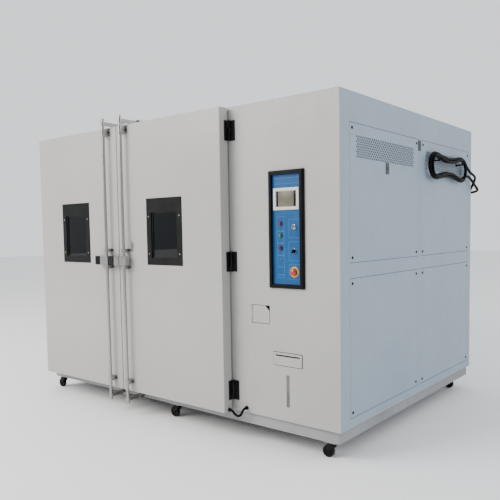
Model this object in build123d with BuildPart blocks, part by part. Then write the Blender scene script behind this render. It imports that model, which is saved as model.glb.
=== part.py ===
from build123d import *
import math
import os

os.makedirs("parts", exist_ok=True)

# A walk-in environmental test chamber, in millimetres, +Z up and the doors facing -Y.
# The origin lies on the floor, under the middle of the object's overall box.

# Cabinet
cabinet_width = 2860.0
cabinet_depth = 2100.0
cabinet_height = 2000.0
caster_height = 105.0
plinth_height = 73.0
plinth_inset = 17.0
plinth_sheet = 4.0
plinth_corner = 6.0
sheet = 2.0
foam = 100.0
liner_sheet = 3.0
jamb_depth = 20.0
control_sheet = 3.0
control_width = 795.0
condenser_vent_level = 420.0
condenser_vent_rows = 8
condenser_vent_pitch = 36.0
condenser_vent_length = 520.0
condenser_vent_height = 12.0

# Doors
door_gap = 5.0
jamb_strip = 62.0
door_foot = 65.0
door_head = 6.0
door_thick = 76.0
door_round = 5.0
door_skin = 3.0
tray_sheet = 2.0
seal_thick = 14.0
seal_band = 24.0
seal_inset = 6.0
seal_round = 4.0
seat_gap = 0.3
plug_reach = 30.0
plug_clear = 12.0
plug_taper = 8.0
split_clear = 15.0

# Window in each door
window_from_left = 306.0
window_frame_width = 348.0
window_frame_height = 460.0
window_sill = 935.0
window_width = 254.0
window_height = 316.0
window_border_foot = 48.0
window_flange = 4.0
window_sleeve = 5.0
pane_recess = 10.0
pane_thick = 28.0
inner_pane_setback = 16.0
inner_pane_thick = 10.0
fit_gap = 0.2

# Hinges
hinge_height = 125.0
hinge_levels = (205.0, 1032.0, 1853.0)
hinge_leaf = 5.0
hinge_leaf_reach = 50.0
door_leaf_reach = 34.0
leaf_clear = 4.0
knuckle_web = 8.0
pin_offset = 12.0
knuckle_radius = 6.5
pin_radius = 4.0
running_gap = 0.2
knuckle_gap = 0.5

# Lock rods
rod_offset = 97.0
rod_stand = 40.0
rod_radius = 11.0
rod_above_roof = 55.0
rod_below_plinth = 15.0
cam_thick = 22.0
cam_clear = 8.0
cam_root = 17.0
cam_nose = 11.0
cam_reach_top = 150.0
cam_reach_foot = 122.0
keeper_sheet = 5.0
keeper_wall = 8.0
keeper_gap = 4.0
keeper_side = 34.0
keeper_stop = 14.0
keeper_tail = 28.0
keeper_cover_side = 10.0
keeper_setback = 4.0
keeper_foot_low = 2.0
keeper_foot_high = 58.0
keeper_ear_high = 46.0
keeper_foot_reach = 31.0
guide_half = 17.0
guide_base_half = 32.0
guide_base_sheet = 5.0
guide_heights = ((126.0, 34.0), (965.0, 24.0), (1087.0, 24.0), (1930.0, 52.0))
lever_foot = 993.0
lever_height = 64.0
lever_half = 19.0
hub_inner = 31.0
left_hub_outer = 57.0
left_grip_outer = 121.0
grip_round = 8.0
hub_clear = 1.0
grip_clear = 5.0
right_hub_outer = 40.0
catch_gap = 6.0
catch_inset = 3.0

# Control panel
bezel_from_right = 230.0
bezel_width = 253.0
bezel_foot = 881.0
bezel_height = 697.0
bezel_border = 24.0
bezel_stand = 20.0
bezel_bevel = 9.0
plate_thick = 3.0
plate_rest = 9.0
display_width = 183.0
display_height = 130.0
display_foot = 1345.0
display_stand = 7.0
screen_width = 141.0
screen_height = 90.0
screen_depth = 3.0
display_body_depth = 60.0
switch_hole = 11.25
barrel_floor = 8.0
barrel_radius = 11.0
barrel_depth = 42.0
collar_radius = 15.0
collar_thick = 4.0
button_radius = 9.0
button_stand = 9.0
button_depth = 18.0
button_column = 401.0
button_levels = {"lower": 1120.0, "middle": 1195.0, "upper": 1266.0}
indicator_level = 1049.0
indicator_radius = 6.0
indicator_depth = 20.0
knob_column = 302.0
key_level = 1244.0
selector_level = 1103.0
stop_level = 980.0
stop_ring_radius = 32.0
stop_head_radius = 20.0
stop_stand = 26.0
stop_travel = 6.0
stop_edge = 3.0
stop_stem_depth = 24.0
knob_radius = 12.0
knob_stem = 5.0
knob_stem_depth = 24.0
knob_bar_stand = 13.0
key_head = 7.0
key_bar = (20.0, 5.0)
selector_head = 5.0
selector_bar = (23.0, 9.0)
selector_turn = 60

# Flap, water drawer and sight glass
flap_from_right = 629.0
flap_width = 135.0
flap_foot = 658.0
flap_height = 108.0
flap_gap = 1.0
flap_notch = 32.0
flap_pin_stand = 3.0
flap_knuckle = 2.5
flap_pin = 1.2
flap_end = 14.0
flap_leaf = 9.0
well_depth = 70.0
well_sheet = 2.0
well_margin = 4.0
drawer_from_right = 462.0
drawer_width = 205.0
drawer_foot = 412.0
drawer_height = 78.0
drawer_face = 5.0
drawer_depth = 190.0
drawer_wall = 3.0
drawer_border = 4.0
face_bevel = 1.5
groove_inset = 14.0
groove_depth = 3.0
grip_level = 56.0
grip_slot = 9.0
runner_wall = 4.0
runner_lip = 12.0
runner_drop = 20.0
runner_overrun = 10.0
glass_from_right = 373.0
glass_width = 24.0
glass_foot = 160.0
glass_height = 196.0
glass_thick = 8.0
glass_lap = 6.0

# Right side frame and its removable panels
skin_depth = 30.0
panel_sheet = 2.0
panel_gap = 2.0
panel_lap = 45.0
front_post = 110.0
mid_post = 46.0
rear_post = 60.0
upper_panel_foot = 1033.0
upper_panel_head = 1828.0
lower_panel_foot = 130.0
lower_panel_head = 944.0
screw_inset = 30.0
screw_head_radius = 9.0
screw_head = 4.0
screw_shank = 4.0
screw_shank_length = 12.0
screw_taper = 18
vent_side_inset = 74.0
vent_foot = 1641.0
vent_height = 114.0
vent_pitch = 48.0
vent_row = 28.5
vent_hole = 8.0

# Mains cable and its hooks
cable_diameter = 20.0
hook_places = (1290.0, 1762.0)
hook_radius = 6.0
hook_reach = 74.0
hook_tip = 22.0
hook_foot_radius = 13.2
hook_foot_sheet = 3.0
hook_bend = 9.0
loop_middle = 1520.0
loop_level = 1668.0
loop_half_length = 335.0
loop_waist = 36.0
loop_swell = 4.0
loop_points = 24
loop_band = 52.0
loop_thick = 44.0
loop_stand = 12.0

# Casters
caster_left_inset = 70.0
caster_middle = 1482.0
caster_right_inset = 90.0
caster_front_inset = 66.0
caster_rear_inset = 134.0
caster_plate = 92.0
caster_plate_thick = 5.0
caster_plate_corner = 10.0
king_pin_room = 20.0
wheel_radius = 36.0
wheel_width = 28.0
wheel_trail = 30.0
axle_radius = 5.0
fork_sheet = 5.0
fork_gap = 1.0
race_radius = 33.0
race_height = 14.0
race_taper = 12
king_pin = 7.0
king_pin_height = 15.0
crown_back = 28.0
crown_front = 22.0
crown_sheet = 6.0
leg_foot_radius = 11.0
axle_end = 3.0
tyre_round = 5.0
web_share = 0.66
web_recess = 5.0
hub_wall = 7.0

# Cable port in the left wall, centred up the wall
port_radius = 25.0
port_wall = 3.0
port_flange = 17.0
port_outer_sheet = 4.0
port_inner_sheet = 3.0
port_reach = 20.0
port_from_front = 1050.0
port_level = 1050.0

# Inside
baffle_from_front = 1640.0
baffle_sheet = 3.0
return_gap = 50.0
fan_radius = 200.0
fan_opening = 215.0
fan_spread = 430.0
fan_level = 1560.0
fan_hub = 45.0
fan_depth = 60.0
fan_gap = 12.0
fan_front_wall = 8.0
blade_count = 5
blade_root = 36.0
blade_shoulder = 170.0
blade_tip = 190.0
blade_root_half = 33.0
blade_half = 55.0
blade_thick = 4.0
blade_angle = 28.0
shaft_radius = 10.0
shaft_end_gap = 10.0
motor_radius = 85.0
motor_length = 150.0
guard_bar = 12.0
guard_bars = 4
guard_bar_lap = 4.0
guard_ring_share = 0.62
return_slot = 24.0
return_slot_pitch = 60.0
return_rows = 4
return_columns = 4
return_slot_gap = 50.0
return_margin = 60.0
coil_width = 1400.0
coil_height = 520.0
coil_depth = 130.0
coil_foot = 420.0
coil_fins = 15
fin_sheet = 4.0
fin_overhang = 15.0
coil_gap = 70.0
end_plate_reach = 45.0
heater_radius = 8.0
heater_count = 3
heater_gap = 25.0
heater_foot = 80.0
heater_pitch = 120.0
tray_width = 560.0
tray_depth = 820.0
tray_foot = 20.0
tray_from_rear = 90.0
tray_from_right = 90.0
compressor_radius = 110.0
compressor_height = 300.0
compressor_inset = 150.0
compressor_dome = 60.0
receiver_radius = 70.0
receiver_length = 420.0
receiver_from_front = 420.0
receiver_inset = 60.0
receiver_lift = 20.0
saddle_half = 40.0
condenser_depth = 90.0
condenser_height = 420.0
condenser_inset = 20.0

# Door cable
door_cable_diameter = 15.0
corner_share = 0.45

# Mains cable ends
rear_gland_inset = 150.0
rear_gland_level = 1500.0
rear_gland_length = 40.0
gland_nut_radius = 22.0
gland_nut_height = 12.0
gland_neck_radius = 17.0
plug_radius = 30.0
plug_length = 120.0
plug_neck_radius = 15.0
plug_neck_length = 25.0

# Places worked out from the sizes above
front_reach = seal_thick + door_thick + rod_stand + lever_half
x_right = (cabinet_width + port_reach - hook_reach) / 2
x_left = x_right - cabinet_width
y_front = (front_reach - cabinet_depth) / 2
y_rear = y_front + cabinet_depth
z_foot = caster_height
z_roof = z_foot + cabinet_height
z_deck = z_foot + plinth_height
x_control = x_right - control_width

inner_left = x_left + sheet + foam + liner_sheet
inner_right = x_control - foam - liner_sheet
inner_floor = z_deck + foam + liner_sheet
inner_top = z_roof - sheet - foam - liner_sheet
inner_back = y_rear - sheet - foam - liner_sheet
inner_middle = (inner_left + inner_right) / 2

door_width = (cabinet_width - jamb_strip - control_width - door_gap) / 2
door_low = z_foot + door_foot
door_high = z_roof - door_head
y_door_back = y_front - seal_thick
y_door_face = y_door_back - door_thick
x_split = x_left + jamb_strip + door_width + door_gap / 2
y_rod = y_door_face - rod_stand
y_pin = y_front - pin_offset


def front(y):
    """Plane facing the doors' side at depth y: sketch x is X and sketch y is Z."""
    return Plane.XZ.offset(-y)


def side(x):
    """Plane facing right at width x: sketch x is Y and sketch y is Z."""
    return Plane.YZ.offset(x)


def level(z):
    """Plane facing up at height z."""
    return Plane.XY.offset(z)


def rect(u, v, mode=Mode.ADD):
    """Draws a rectangle from its ranges along the sketch's two axes."""
    with Locations(((u[0] + u[1]) / 2, (v[0] + v[1]) / 2)):
        Rectangle(abs(u[1] - u[0]), abs(v[1] - v[0]), mode=mode)


def disc(u, v, radius, mode=Mode.ADD):
    """Draws a circle at a place of the sketch."""
    with Locations((u, v)):
        Circle(radius, mode=mode)


def grow(span, amount):
    """Widens a range by an amount at both ends."""
    return (span[0] - amount, span[1] + amount)


def slab(x_span, y_span, z_span):
    """A plain box over three spans."""
    with BuildPart() as piece:
        with BuildSketch(level(z_span[0])):
            rect(x_span, y_span)
        extrude(amount=z_span[1] - z_span[0])
    return piece.part


def assemble(name, pieces):
    """Writes several solids that are fixed together as one node."""
    node = Compound(label=name, children=pieces)
    export_step(node, f"parts/{name}.step")


def finish(builder, name):
    """Labels a finished piece and writes it."""
    builder.part.label = name
    export_step(builder.part, f"parts/{name}.step")


# Base: a folded plinth set back under the cabinet, with a block and a top plate for each caster
caster_places = []
for column in (caster_left_inset, caster_middle, cabinet_width - caster_right_inset):
    for row in (y_front + caster_front_inset, y_rear - caster_rear_inset):
        caster_places.append((x_left + column, row))

with BuildPart() as base_frame:
    with BuildSketch(level(z_foot)):
        rect(grow((x_left, x_right), -plinth_inset), grow((y_front, y_rear), -plinth_inset))
    extrude(amount=plinth_height)
    fillet(base_frame.edges().filter_by(Axis.Z), radius=plinth_corner)
    hollow = plinth_inset + plinth_sheet
    with BuildSketch(level(z_foot)):
        rect(grow((x_left, x_right), -hollow), grow((y_front, y_rear), -hollow))
    extrude(amount=plinth_height - plinth_sheet, mode=Mode.SUBTRACT)
    with BuildSketch(level(z_foot)):
        for place in caster_places:
            with Locations(place):
                Rectangle(caster_plate, caster_plate)
    extrude(amount=plinth_height)
    with BuildSketch(level(z_foot)):
        for place in caster_places:
            with Locations(place):
                RectangleRounded(caster_plate, caster_plate, caster_plate_corner)
    extrude(amount=-caster_plate_thick)
    with BuildSketch(level(z_foot - caster_plate_thick)):
        for place in caster_places:
            disc(place[0], place[1], king_pin + running_gap)
    extrude(amount=caster_plate_thick + king_pin_room, mode=Mode.SUBTRACT)
finish(base_frame, "base_frame")

# Outer sheets: left side, roof and rear, three separate sheets
port_y = y_front + port_from_front
port_z = z_foot + port_level
port_outer = port_radius + port_wall

with BuildPart() as outer_panels:
    with BuildSketch(side(x_left)):
        rect((y_front, y_rear - sheet), (z_deck, z_roof - sheet))
        disc(port_y, port_z, port_outer + fit_gap, mode=Mode.SUBTRACT)
    extrude(amount=sheet)
    with BuildSketch(level(z_roof - sheet)):
        rect((x_left, x_right), (y_front, y_rear))
    extrude(amount=sheet)
    with BuildSketch(front(y_rear - sheet)):
        rect((x_left, x_right), (z_deck, z_roof - sheet))
        with Locations((x_right - control_width / 2, z_foot + condenser_vent_level)):
            with GridLocations(1, condenser_vent_pitch, 1, condenser_vent_rows):
                SlotOverall(condenser_vent_length, condenser_vent_height, mode=Mode.SUBTRACT)
    extrude(amount=-sheet)
finish(outer_panels, "outer_panels")

# Frame round the chamber mouth: two posts, a head and a sill
with BuildPart() as front_frame:
    with BuildSketch(front(y_front)):
        rect((x_left + sheet, inner_left), (z_deck, z_roof - sheet))
        rect((inner_right, x_control), (z_deck, z_roof - sheet))
        rect((inner_left, inner_right), (z_deck, inner_floor))
        rect((inner_left, inner_right), (inner_top, z_roof - sheet))
    extrude(amount=-jamb_depth)
finish(front_frame, "front_frame")

# Foam slabs: left, right, rear, floor and ceiling
foam_front = y_front + jamb_depth
foam_rear = y_rear - sheet
cavity_left = inner_left - liner_sheet
cavity_right = inner_right + liner_sheet
cavity_floor = inner_floor - liner_sheet
cavity_top = inner_top + liner_sheet
cavity_back = inner_back + liner_sheet

with BuildPart() as left_foam:
    with BuildSketch(side(x_left + sheet)):
        rect((foam_front, foam_rear), (z_deck, z_roof - sheet))
        disc(port_y, port_z, port_outer + fit_gap, mode=Mode.SUBTRACT)
    extrude(amount=foam)
with BuildPart() as right_foam:
    with BuildSketch(side(cavity_right)):
        rect((foam_front, foam_rear), (z_deck, z_roof - sheet))
    extrude(amount=foam)
with BuildPart() as rear_foam:
    with BuildSketch(front(cavity_back)):
        rect((cavity_left, cavity_right), (z_deck, z_roof - sheet))
    extrude(amount=-foam)
with BuildPart() as floor_foam:
    with BuildSketch(level(z_deck)):
        rect((cavity_left, cavity_right), (foam_front, cavity_back))
    extrude(amount=foam)
with BuildPart() as ceiling_foam:
    with BuildSketch(level(cavity_top)):
        rect((cavity_left, cavity_right), (foam_front, cavity_back))
    extrude(amount=foam)
insulation = Compound(
    label="insulation",
    children=[left_foam.part, right_foam.part, rear_foam.part, floor_foam.part, ceiling_foam.part],
)
export_step(insulation, "parts/insulation.step")

# Stainless liner: one welded box, open at the front
with BuildPart() as inner_liner:
    with BuildSketch(level(cavity_floor)):
        rect((cavity_left, cavity_right), (foam_front, cavity_back))
    extrude(amount=cavity_top - cavity_floor)
    with BuildSketch(level(inner_floor)):
        rect((inner_left, inner_right), (foam_front, inner_back))
    extrude(amount=inner_top - inner_floor, mode=Mode.SUBTRACT)
    with BuildSketch(side(cavity_left)):
        disc(port_y, port_z, port_outer + fit_gap)
    extrude(amount=liner_sheet, mode=Mode.SUBTRACT)
finish(inner_liner, "inner_liner")

# Front sheet of the control section, with its cut-outs and the flap's fixed knuckles
bezel_x = (x_right - bezel_from_right - bezel_width, x_right - bezel_from_right)
bezel_z = (z_foot + bezel_foot, z_foot + bezel_foot + bezel_height)
plate_x = (bezel_x[0] + bezel_border, bezel_x[1] - bezel_border)
plate_z = (bezel_z[0] + bezel_border, bezel_z[1] - bezel_border)
flap_x = (x_right - flap_from_right, x_right - flap_from_right + flap_width)
flap_z = (z_foot + flap_foot, z_foot + flap_foot + flap_height)
flap_pin_x = flap_x[0] - flap_gap / 2
flap_pin_y = y_front - flap_pin_stand
drawer_x = (x_right - drawer_from_right, x_right - drawer_from_right + drawer_width)
drawer_z = (z_foot + drawer_foot, z_foot + drawer_foot + drawer_height)
mouth_x = (drawer_x[0] + drawer_border, drawer_x[1] - drawer_border)
mouth_z = (drawer_z[0] + drawer_border, drawer_z[1] - drawer_border)
glass_x = (x_right - glass_from_right, x_right - glass_from_right + glass_width)
glass_z = (z_foot + glass_foot, z_foot + glass_foot + glass_height)

with BuildPart() as control_front:
    with BuildSketch(front(y_front)):
        rect((x_control, x_right), (z_deck, z_roof - sheet))
        rect(grow(plate_x, -plate_rest), grow(plate_z, -plate_rest), mode=Mode.SUBTRACT)
        rect(grow(flap_x, flap_gap), grow(flap_z, flap_gap), mode=Mode.SUBTRACT)
        rect(mouth_x, mouth_z, mode=Mode.SUBTRACT)
        rect(glass_x, glass_z, mode=Mode.SUBTRACT)
    extrude(amount=-control_sheet)
with BuildPart() as flap_hinge:
    for z_end in (flap_z[0], flap_z[1] - flap_end):
        with BuildSketch(level(z_end)):
            disc(flap_pin_x, flap_pin_y, flap_knuckle)
            rect((flap_pin_x - flap_leaf, flap_pin_x), (flap_pin_y + 1, y_front))
        extrude(amount=flap_end)
    with BuildSketch(level(flap_z[0])):
        disc(flap_pin_x, flap_pin_y, flap_pin)
    extrude(amount=flap_height)
assemble("control_front", [control_front.part, flap_hinge.part])

# Access flap with its finger notch and middle knuckle
with BuildPart() as access_flap:
    with BuildSketch(front(y_front)):
        rect(flap_x, flap_z)
        with BuildLine():
            Polyline(
                (flap_x[1] - flap_notch, flap_z[1] + 1),
                (flap_x[1] + 1, flap_z[1] + 1),
                (flap_x[1] + 1, flap_z[1] - flap_notch),
                close=True,
            )
        make_face(mode=Mode.SUBTRACT)
    extrude(amount=-sheet)
    knuckle_foot = flap_z[0] + flap_end + knuckle_gap
    knuckle_height = flap_height - 2 * flap_end - 2 * knuckle_gap
    with BuildSketch(level(knuckle_foot)):
        disc(flap_pin_x, flap_pin_y, flap_knuckle)
        rect((flap_pin_x, flap_x[0] + flap_leaf), (flap_pin_y + 1, y_front + sheet))
        disc(flap_pin_x, flap_pin_y, flap_pin + running_gap, mode=Mode.SUBTRACT)
    extrude(amount=knuckle_height)
finish(access_flap, "access_flap")

# Well behind the flap and the drawer's two runners
y_behind = y_front + control_sheet
drawer_tray_x = grow(mouth_x, -seat_gap)
drawer_tray_z = (mouth_z[0] + seat_gap, mouth_z[1] - 2 * seat_gap)

well_x = grow(flap_x, well_margin)
well_z = grow(flap_z, well_margin)
well_outer_x = grow(well_x, well_sheet)
well_outer_z = grow(well_z, well_sheet)
well_y = (y_behind, y_behind + well_depth - well_sheet)
well_walls = [
    slab(well_outer_x, (well_y[1], well_y[1] + well_sheet), well_outer_z),
    slab((well_outer_x[0], well_x[0]), well_y, well_outer_z),
    slab((well_x[1], well_outer_x[1]), well_y, well_outer_z),
    slab(well_x, well_y, (well_outer_z[0], well_z[0])),
    slab(well_x, well_y, (well_z[1], well_outer_z[1])),
]
runner_seat = drawer_tray_z[0] - seat_gap
runner_z = (runner_seat - runner_wall, drawer_tray_z[1] - runner_drop)
runner_y = (y_behind, y_behind + drawer_depth + runner_overrun)
runners = []
for edge, inward in ((drawer_tray_x[0] - seat_gap, 1), (drawer_tray_x[1] + seat_gap, -1)):
    outer_edge = edge - inward * runner_wall
    runners += [
        slab(sorted((outer_edge, edge)), runner_y, runner_z),
        slab(sorted((edge, edge + inward * runner_lip)), runner_y, (runner_z[0], runner_seat)),
    ]
assemble("service_box", [*runners, *well_walls])

# Water drawer: a tray open at the top behind a thick face with a finger groove
with BuildPart() as water_drawer:
    with BuildSketch(front(y_front - seat_gap)):
        rect(drawer_x, drawer_z)
    extrude(amount=drawer_face)
    chamfer(water_drawer.faces().sort_by(Axis.Y)[0].edges(), length=face_bevel)
    with BuildSketch(front(y_front - seat_gap)):
        rect(drawer_tray_x, drawer_tray_z)
    extrude(amount=-drawer_depth)
    with BuildSketch(level(drawer_tray_z[0] + drawer_wall)):
        rect(grow(drawer_tray_x, -drawer_wall), grow((y_front, y_front + drawer_depth), -drawer_wall))
    extrude(amount=drawer_height, mode=Mode.SUBTRACT)
    groove_z = drawer_z[0] + grip_level
    with BuildSketch(front(y_front - seat_gap - drawer_face)):
        rect(grow(drawer_x, -groove_inset), (groove_z, groove_z + grip_slot))
    extrude(amount=-groove_depth, mode=Mode.SUBTRACT)
finish(water_drawer, "water_drawer")

# Sight glass: a clear strip in its slot with a flange behind the sheet
with BuildPart() as sight_glass:
    with BuildSketch(front(y_front + 0.5)):
        rect(grow(glass_x, -fit_gap), grow(glass_z, -fit_gap))
    extrude(amount=-(control_sheet - 0.5))
    with BuildSketch(front(y_behind)):
        rect(grow(glass_x, glass_lap), grow(glass_z, glass_lap))
    extrude(amount=-glass_thick)
finish(sight_glass, "sight_glass")

# Control bezel: a raised bevelled frame on the front sheet
with BuildPart() as control_bezel:
    with BuildSketch(front(y_front)):
        rect(bezel_x, bezel_z)
    extrude(amount=bezel_stand)
    chamfer(control_bezel.faces().sort_by(Axis.Y)[0].edges(), length=bezel_bevel)
    with BuildSketch(front(y_front)):
        rect(plate_x, plate_z)
    extrude(amount=bezel_stand, mode=Mode.SUBTRACT)
finish(control_bezel, "control_bezel")

# Control plate inside the bezel, with holes for the display and the switches
y_plate = y_front - plate_thick
y_collar = y_plate - collar_thick
display_x = (sum(plate_x) / 2 - display_width / 2, sum(plate_x) / 2 + display_width / 2)
display_z = (z_foot + display_foot, z_foot + display_foot + display_height)
display_lap = 10.0
column_x = x_right - button_column
knob_x = x_right - knob_column
button_z = {name: z_foot + place for name, place in button_levels.items()}

with BuildPart() as control_panel:
    with BuildSketch(front(y_front)):
        rect(grow(plate_x, -fit_gap), grow(plate_z, -fit_gap))
        rect(grow(display_x, -display_lap), grow(display_z, -display_lap), mode=Mode.SUBTRACT)
        for place in button_z.values():
            disc(column_x, place, switch_hole, mode=Mode.SUBTRACT)
        disc(column_x, z_foot + indicator_level, indicator_radius + fit_gap, mode=Mode.SUBTRACT)
        for place in (key_level, selector_level, stop_level):
            disc(knob_x, z_foot + place, switch_hole, mode=Mode.SUBTRACT)
    extrude(amount=plate_thick)
finish(control_panel, "control_panel")

# Display: front frame with its screen and the controller body behind
screen_x = grow(display_x, -(display_width - screen_width) / 2)
screen_z = grow(display_z, -(display_height - screen_height) / 2)
with BuildPart() as display_body:
    with BuildSketch(front(y_plate)):
        rect(display_x, display_z)
    extrude(amount=display_stand)
    chamfer(display_body.faces().sort_by(Axis.Y)[0].edges(), length=2)
    with BuildSketch(front(y_plate)):
        rect(grow(display_x, -display_lap - fit_gap), grow(display_z, -display_lap - fit_gap))
    extrude(amount=-display_body_depth)
    with BuildSketch(front(y_plate - display_stand)):
        rect(screen_x, screen_z)
    extrude(amount=-screen_depth, mode=Mode.SUBTRACT)
with BuildPart() as display_screen:
    with BuildSketch(front(y_plate - display_stand + screen_depth)):
        rect(grow(screen_x, -fit_gap), grow(screen_z, -fit_gap))
    extrude(amount=screen_depth - 1)
display_unit = Compound(label="display_unit", children=[display_body.part, display_screen.part])
export_step(display_unit, "parts/display_unit.step")

# Switch bodies: collars on the plate with barrels behind it
stop_stem = 8.0
with BuildPart() as switch_collars:
    for x_at, z_at, bore in (
        *((column_x, place, button_radius) for place in button_z.values()),
        (knob_x, z_foot + key_level, knob_stem),
        (knob_x, z_foot + selector_level, knob_stem),
        (knob_x, z_foot + stop_level, stop_stem),
    ):
        with BuildSketch(front(y_plate)):
            disc(x_at, z_at, collar_radius)
        extrude(amount=collar_thick)
        with BuildSketch(front(y_plate)):
            disc(x_at, z_at, barrel_radius)
        extrude(amount=-barrel_depth)
        with BuildSketch(front(y_collar)):
            disc(x_at, z_at, bore + seat_gap)
        extrude(amount=-(collar_thick + barrel_depth - barrel_floor), mode=Mode.SUBTRACT)
    with BuildSketch(front(y_plate)):
        disc(knob_x, z_foot + stop_level, stop_ring_radius)
        disc(knob_x, z_foot + stop_level, barrel_radius, mode=Mode.SUBTRACT)
    extrude(amount=2)
    with BuildSketch(front(y_plate)):
        disc(column_x, z_foot + indicator_level, indicator_radius + 2)
    extrude(amount=2)
    with BuildSketch(front(y_plate)):
        disc(column_x, z_foot + indicator_level, indicator_radius)
    extrude(amount=-indicator_depth)
finish(switch_collars, "switch_collars")

# Push buttons, sliding in their collars
for name, place in button_z.items():
    with BuildPart() as push_button:
        with BuildSketch(front(y_collar + button_depth)):
            disc(column_x, place, button_radius)
        extrude(amount=button_depth + button_stand)
        fillet(push_button.faces().sort_by(Axis.Y)[0].edges(), radius=2)
    finish(push_button, f"push_button_{name}")

# Key switch and rotary selector: round knobs, the selector with a raised grip bar
with BuildPart() as key_switch:
    with BuildSketch(front(y_collar - seat_gap)):
        disc(knob_x, z_foot + key_level, knob_radius)
    extrude(amount=key_head)
    chamfer(key_switch.faces().sort_by(Axis.Y)[0].edges(), length=face_bevel)
    with BuildSketch(front(y_collar - seat_gap)):
        disc(knob_x, z_foot + key_level, knob_stem)
    extrude(amount=-knob_stem_depth)
    with BuildSketch(front(y_collar - seat_gap - key_head)):
        with Locations((knob_x, z_foot + key_level)):
            SlotOverall(*key_bar, rotation=90)
    extrude(amount=knob_bar_stand)
finish(key_switch, "key_switch")

with BuildPart() as rotary_selector:
    with BuildSketch(front(y_collar - seat_gap)):
        disc(knob_x, z_foot + selector_level, knob_radius)
    extrude(amount=selector_head)
    with BuildSketch(front(y_collar - seat_gap)):
        disc(knob_x, z_foot + selector_level, knob_stem)
    extrude(amount=-knob_stem_depth)
    with BuildSketch(front(y_collar - seat_gap - selector_head)):
        with Locations((knob_x, z_foot + selector_level)):
            SlotOverall(*selector_bar, rotation=selector_turn)
    extrude(amount=knob_bar_stand)
finish(rotary_selector, "rotary_selector")

# Emergency stop: mushroom head turned on its stem
stop_under = collar_thick + stop_travel + 0.5
stop_dome = 9.0
dome_radius = (stop_head_radius**2 + stop_dome**2) / (2 * stop_dome)
dome_half = math.asin(stop_head_radius / dome_radius) / 2
dome_middle = (
    dome_radius * math.sin(dome_half),
    -stop_stand + dome_radius * (1 - math.cos(dome_half)),
)
with BuildPart() as estop_button:
    axis_plane = Plane(
        origin=(knob_x, y_plate, z_foot + stop_level), x_dir=(1, 0, 0), z_dir=(0, 0, 1)
    )
    with BuildSketch(axis_plane):
        with BuildLine():
            Polyline(
                (0, stop_stem_depth),
                (stop_stem, stop_stem_depth),
                (stop_stem, -stop_under),
                (stop_head_radius - stop_edge, -stop_under),
                (stop_head_radius, -stop_under - stop_edge),
                (stop_head_radius, -stop_stand + stop_dome),
            )
            ThreePointArc((stop_head_radius, -stop_stand + stop_dome), dome_middle, (0, -stop_stand))
            Line((0, -stop_stand), (0, stop_stem_depth))
        make_face()
    revolve(axis=Axis((knob_x, y_plate, z_foot + stop_level), (0, 1, 0)))
finish(estop_button, "estop_button")

# Right side frame: posts and rails with a rebate for each removable panel
side_y = (y_behind, y_rear - sheet)
side_z = (z_deck, z_roof - sheet)
panel_width = (cabinet_depth - front_post - mid_post - rear_post) / 2
panel_columns = []
for bay_start in (y_front + front_post, y_front + front_post + panel_width + mid_post):
    panel_columns.append((bay_start, bay_start + panel_width))
upper_z = (z_foot + upper_panel_foot, z_foot + upper_panel_head)
lower_z = (z_foot + lower_panel_foot, z_foot + lower_panel_head)

with BuildPart() as side_frame:
    with BuildSketch(side(x_right - skin_depth)):
        rect(side_y, side_z)
    extrude(amount=skin_depth)
    with BuildSketch(side(x_right - panel_sheet)):
        for bay in panel_columns:
            rect(bay, upper_z)
            rect(bay, lower_z)
    extrude(amount=panel_sheet, mode=Mode.SUBTRACT)
    with BuildSketch(side(x_right - skin_depth)):
        for bay in panel_columns:
            rect(grow(bay, -panel_lap), grow(upper_z, -panel_lap))
            rect(grow(bay, -panel_lap), grow(lower_z, -panel_lap))
    extrude(amount=skin_depth, mode=Mode.SUBTRACT)
    for bay in panel_columns:
        for span in (upper_z, lower_z):
            with BuildSketch(side(x_right - panel_sheet - screw_shank_length)):
                for y_at in grow(bay, -screw_inset):
                    for z_at in grow(span, -screw_inset):
                        disc(y_at, z_at, screw_shank + fit_gap)
            extrude(amount=screw_shank_length, mode=Mode.SUBTRACT)
finish(side_frame, "side_frame")

# Removable side panels: plain below, perforated above, and the cable hooks on the rear upper one
with BuildPart() as lower_side_panels:
    with BuildSketch(side(x_right - panel_sheet)):
        for bay in panel_columns:
            rect(grow(bay, -panel_gap), grow(lower_z, -panel_gap))
            for y_at in grow(bay, -screw_inset):
                for z_at in grow(lower_z, -screw_inset):
                    disc(y_at, z_at, screw_shank + fit_gap, mode=Mode.SUBTRACT)
    extrude(amount=panel_sheet)
finish(lower_side_panels, "lower_side_panels")

vent_middle = z_foot + vent_foot + vent_height / 2
vent_rows = int(vent_height // vent_row) + 1
with BuildPart() as upper_plates:
    with BuildSketch(side(x_right - panel_sheet)):
        for bay in panel_columns:
            rect(grow(bay, -panel_gap), grow(upper_z, -panel_gap))
            for y_at in grow(bay, -screw_inset):
                for z_at in grow(upper_z, -screw_inset):
                    disc(y_at, z_at, screw_shank + fit_gap, mode=Mode.SUBTRACT)
            vent_length = panel_width - 2 * vent_side_inset
            per_row = int(vent_length // vent_pitch) + 1
            for row in range(vent_rows):
                holes = per_row - row % 2
                z_at = vent_middle + (row - (vent_rows - 1) / 2) * vent_row
                with Locations((sum(bay) / 2, z_at)):
                    with GridLocations(vent_pitch, 1, holes, 1):
                        RegularPolygon(vent_hole, 6, mode=Mode.SUBTRACT)
    extrude(amount=panel_sheet)


def loop_lift(turn):
    """Height of the hung cable loop's centre line, as a share of its waist, at an angle round it."""
    return math.sin(turn) * (1 + loop_swell * math.cos(turn) ** 2)


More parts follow.
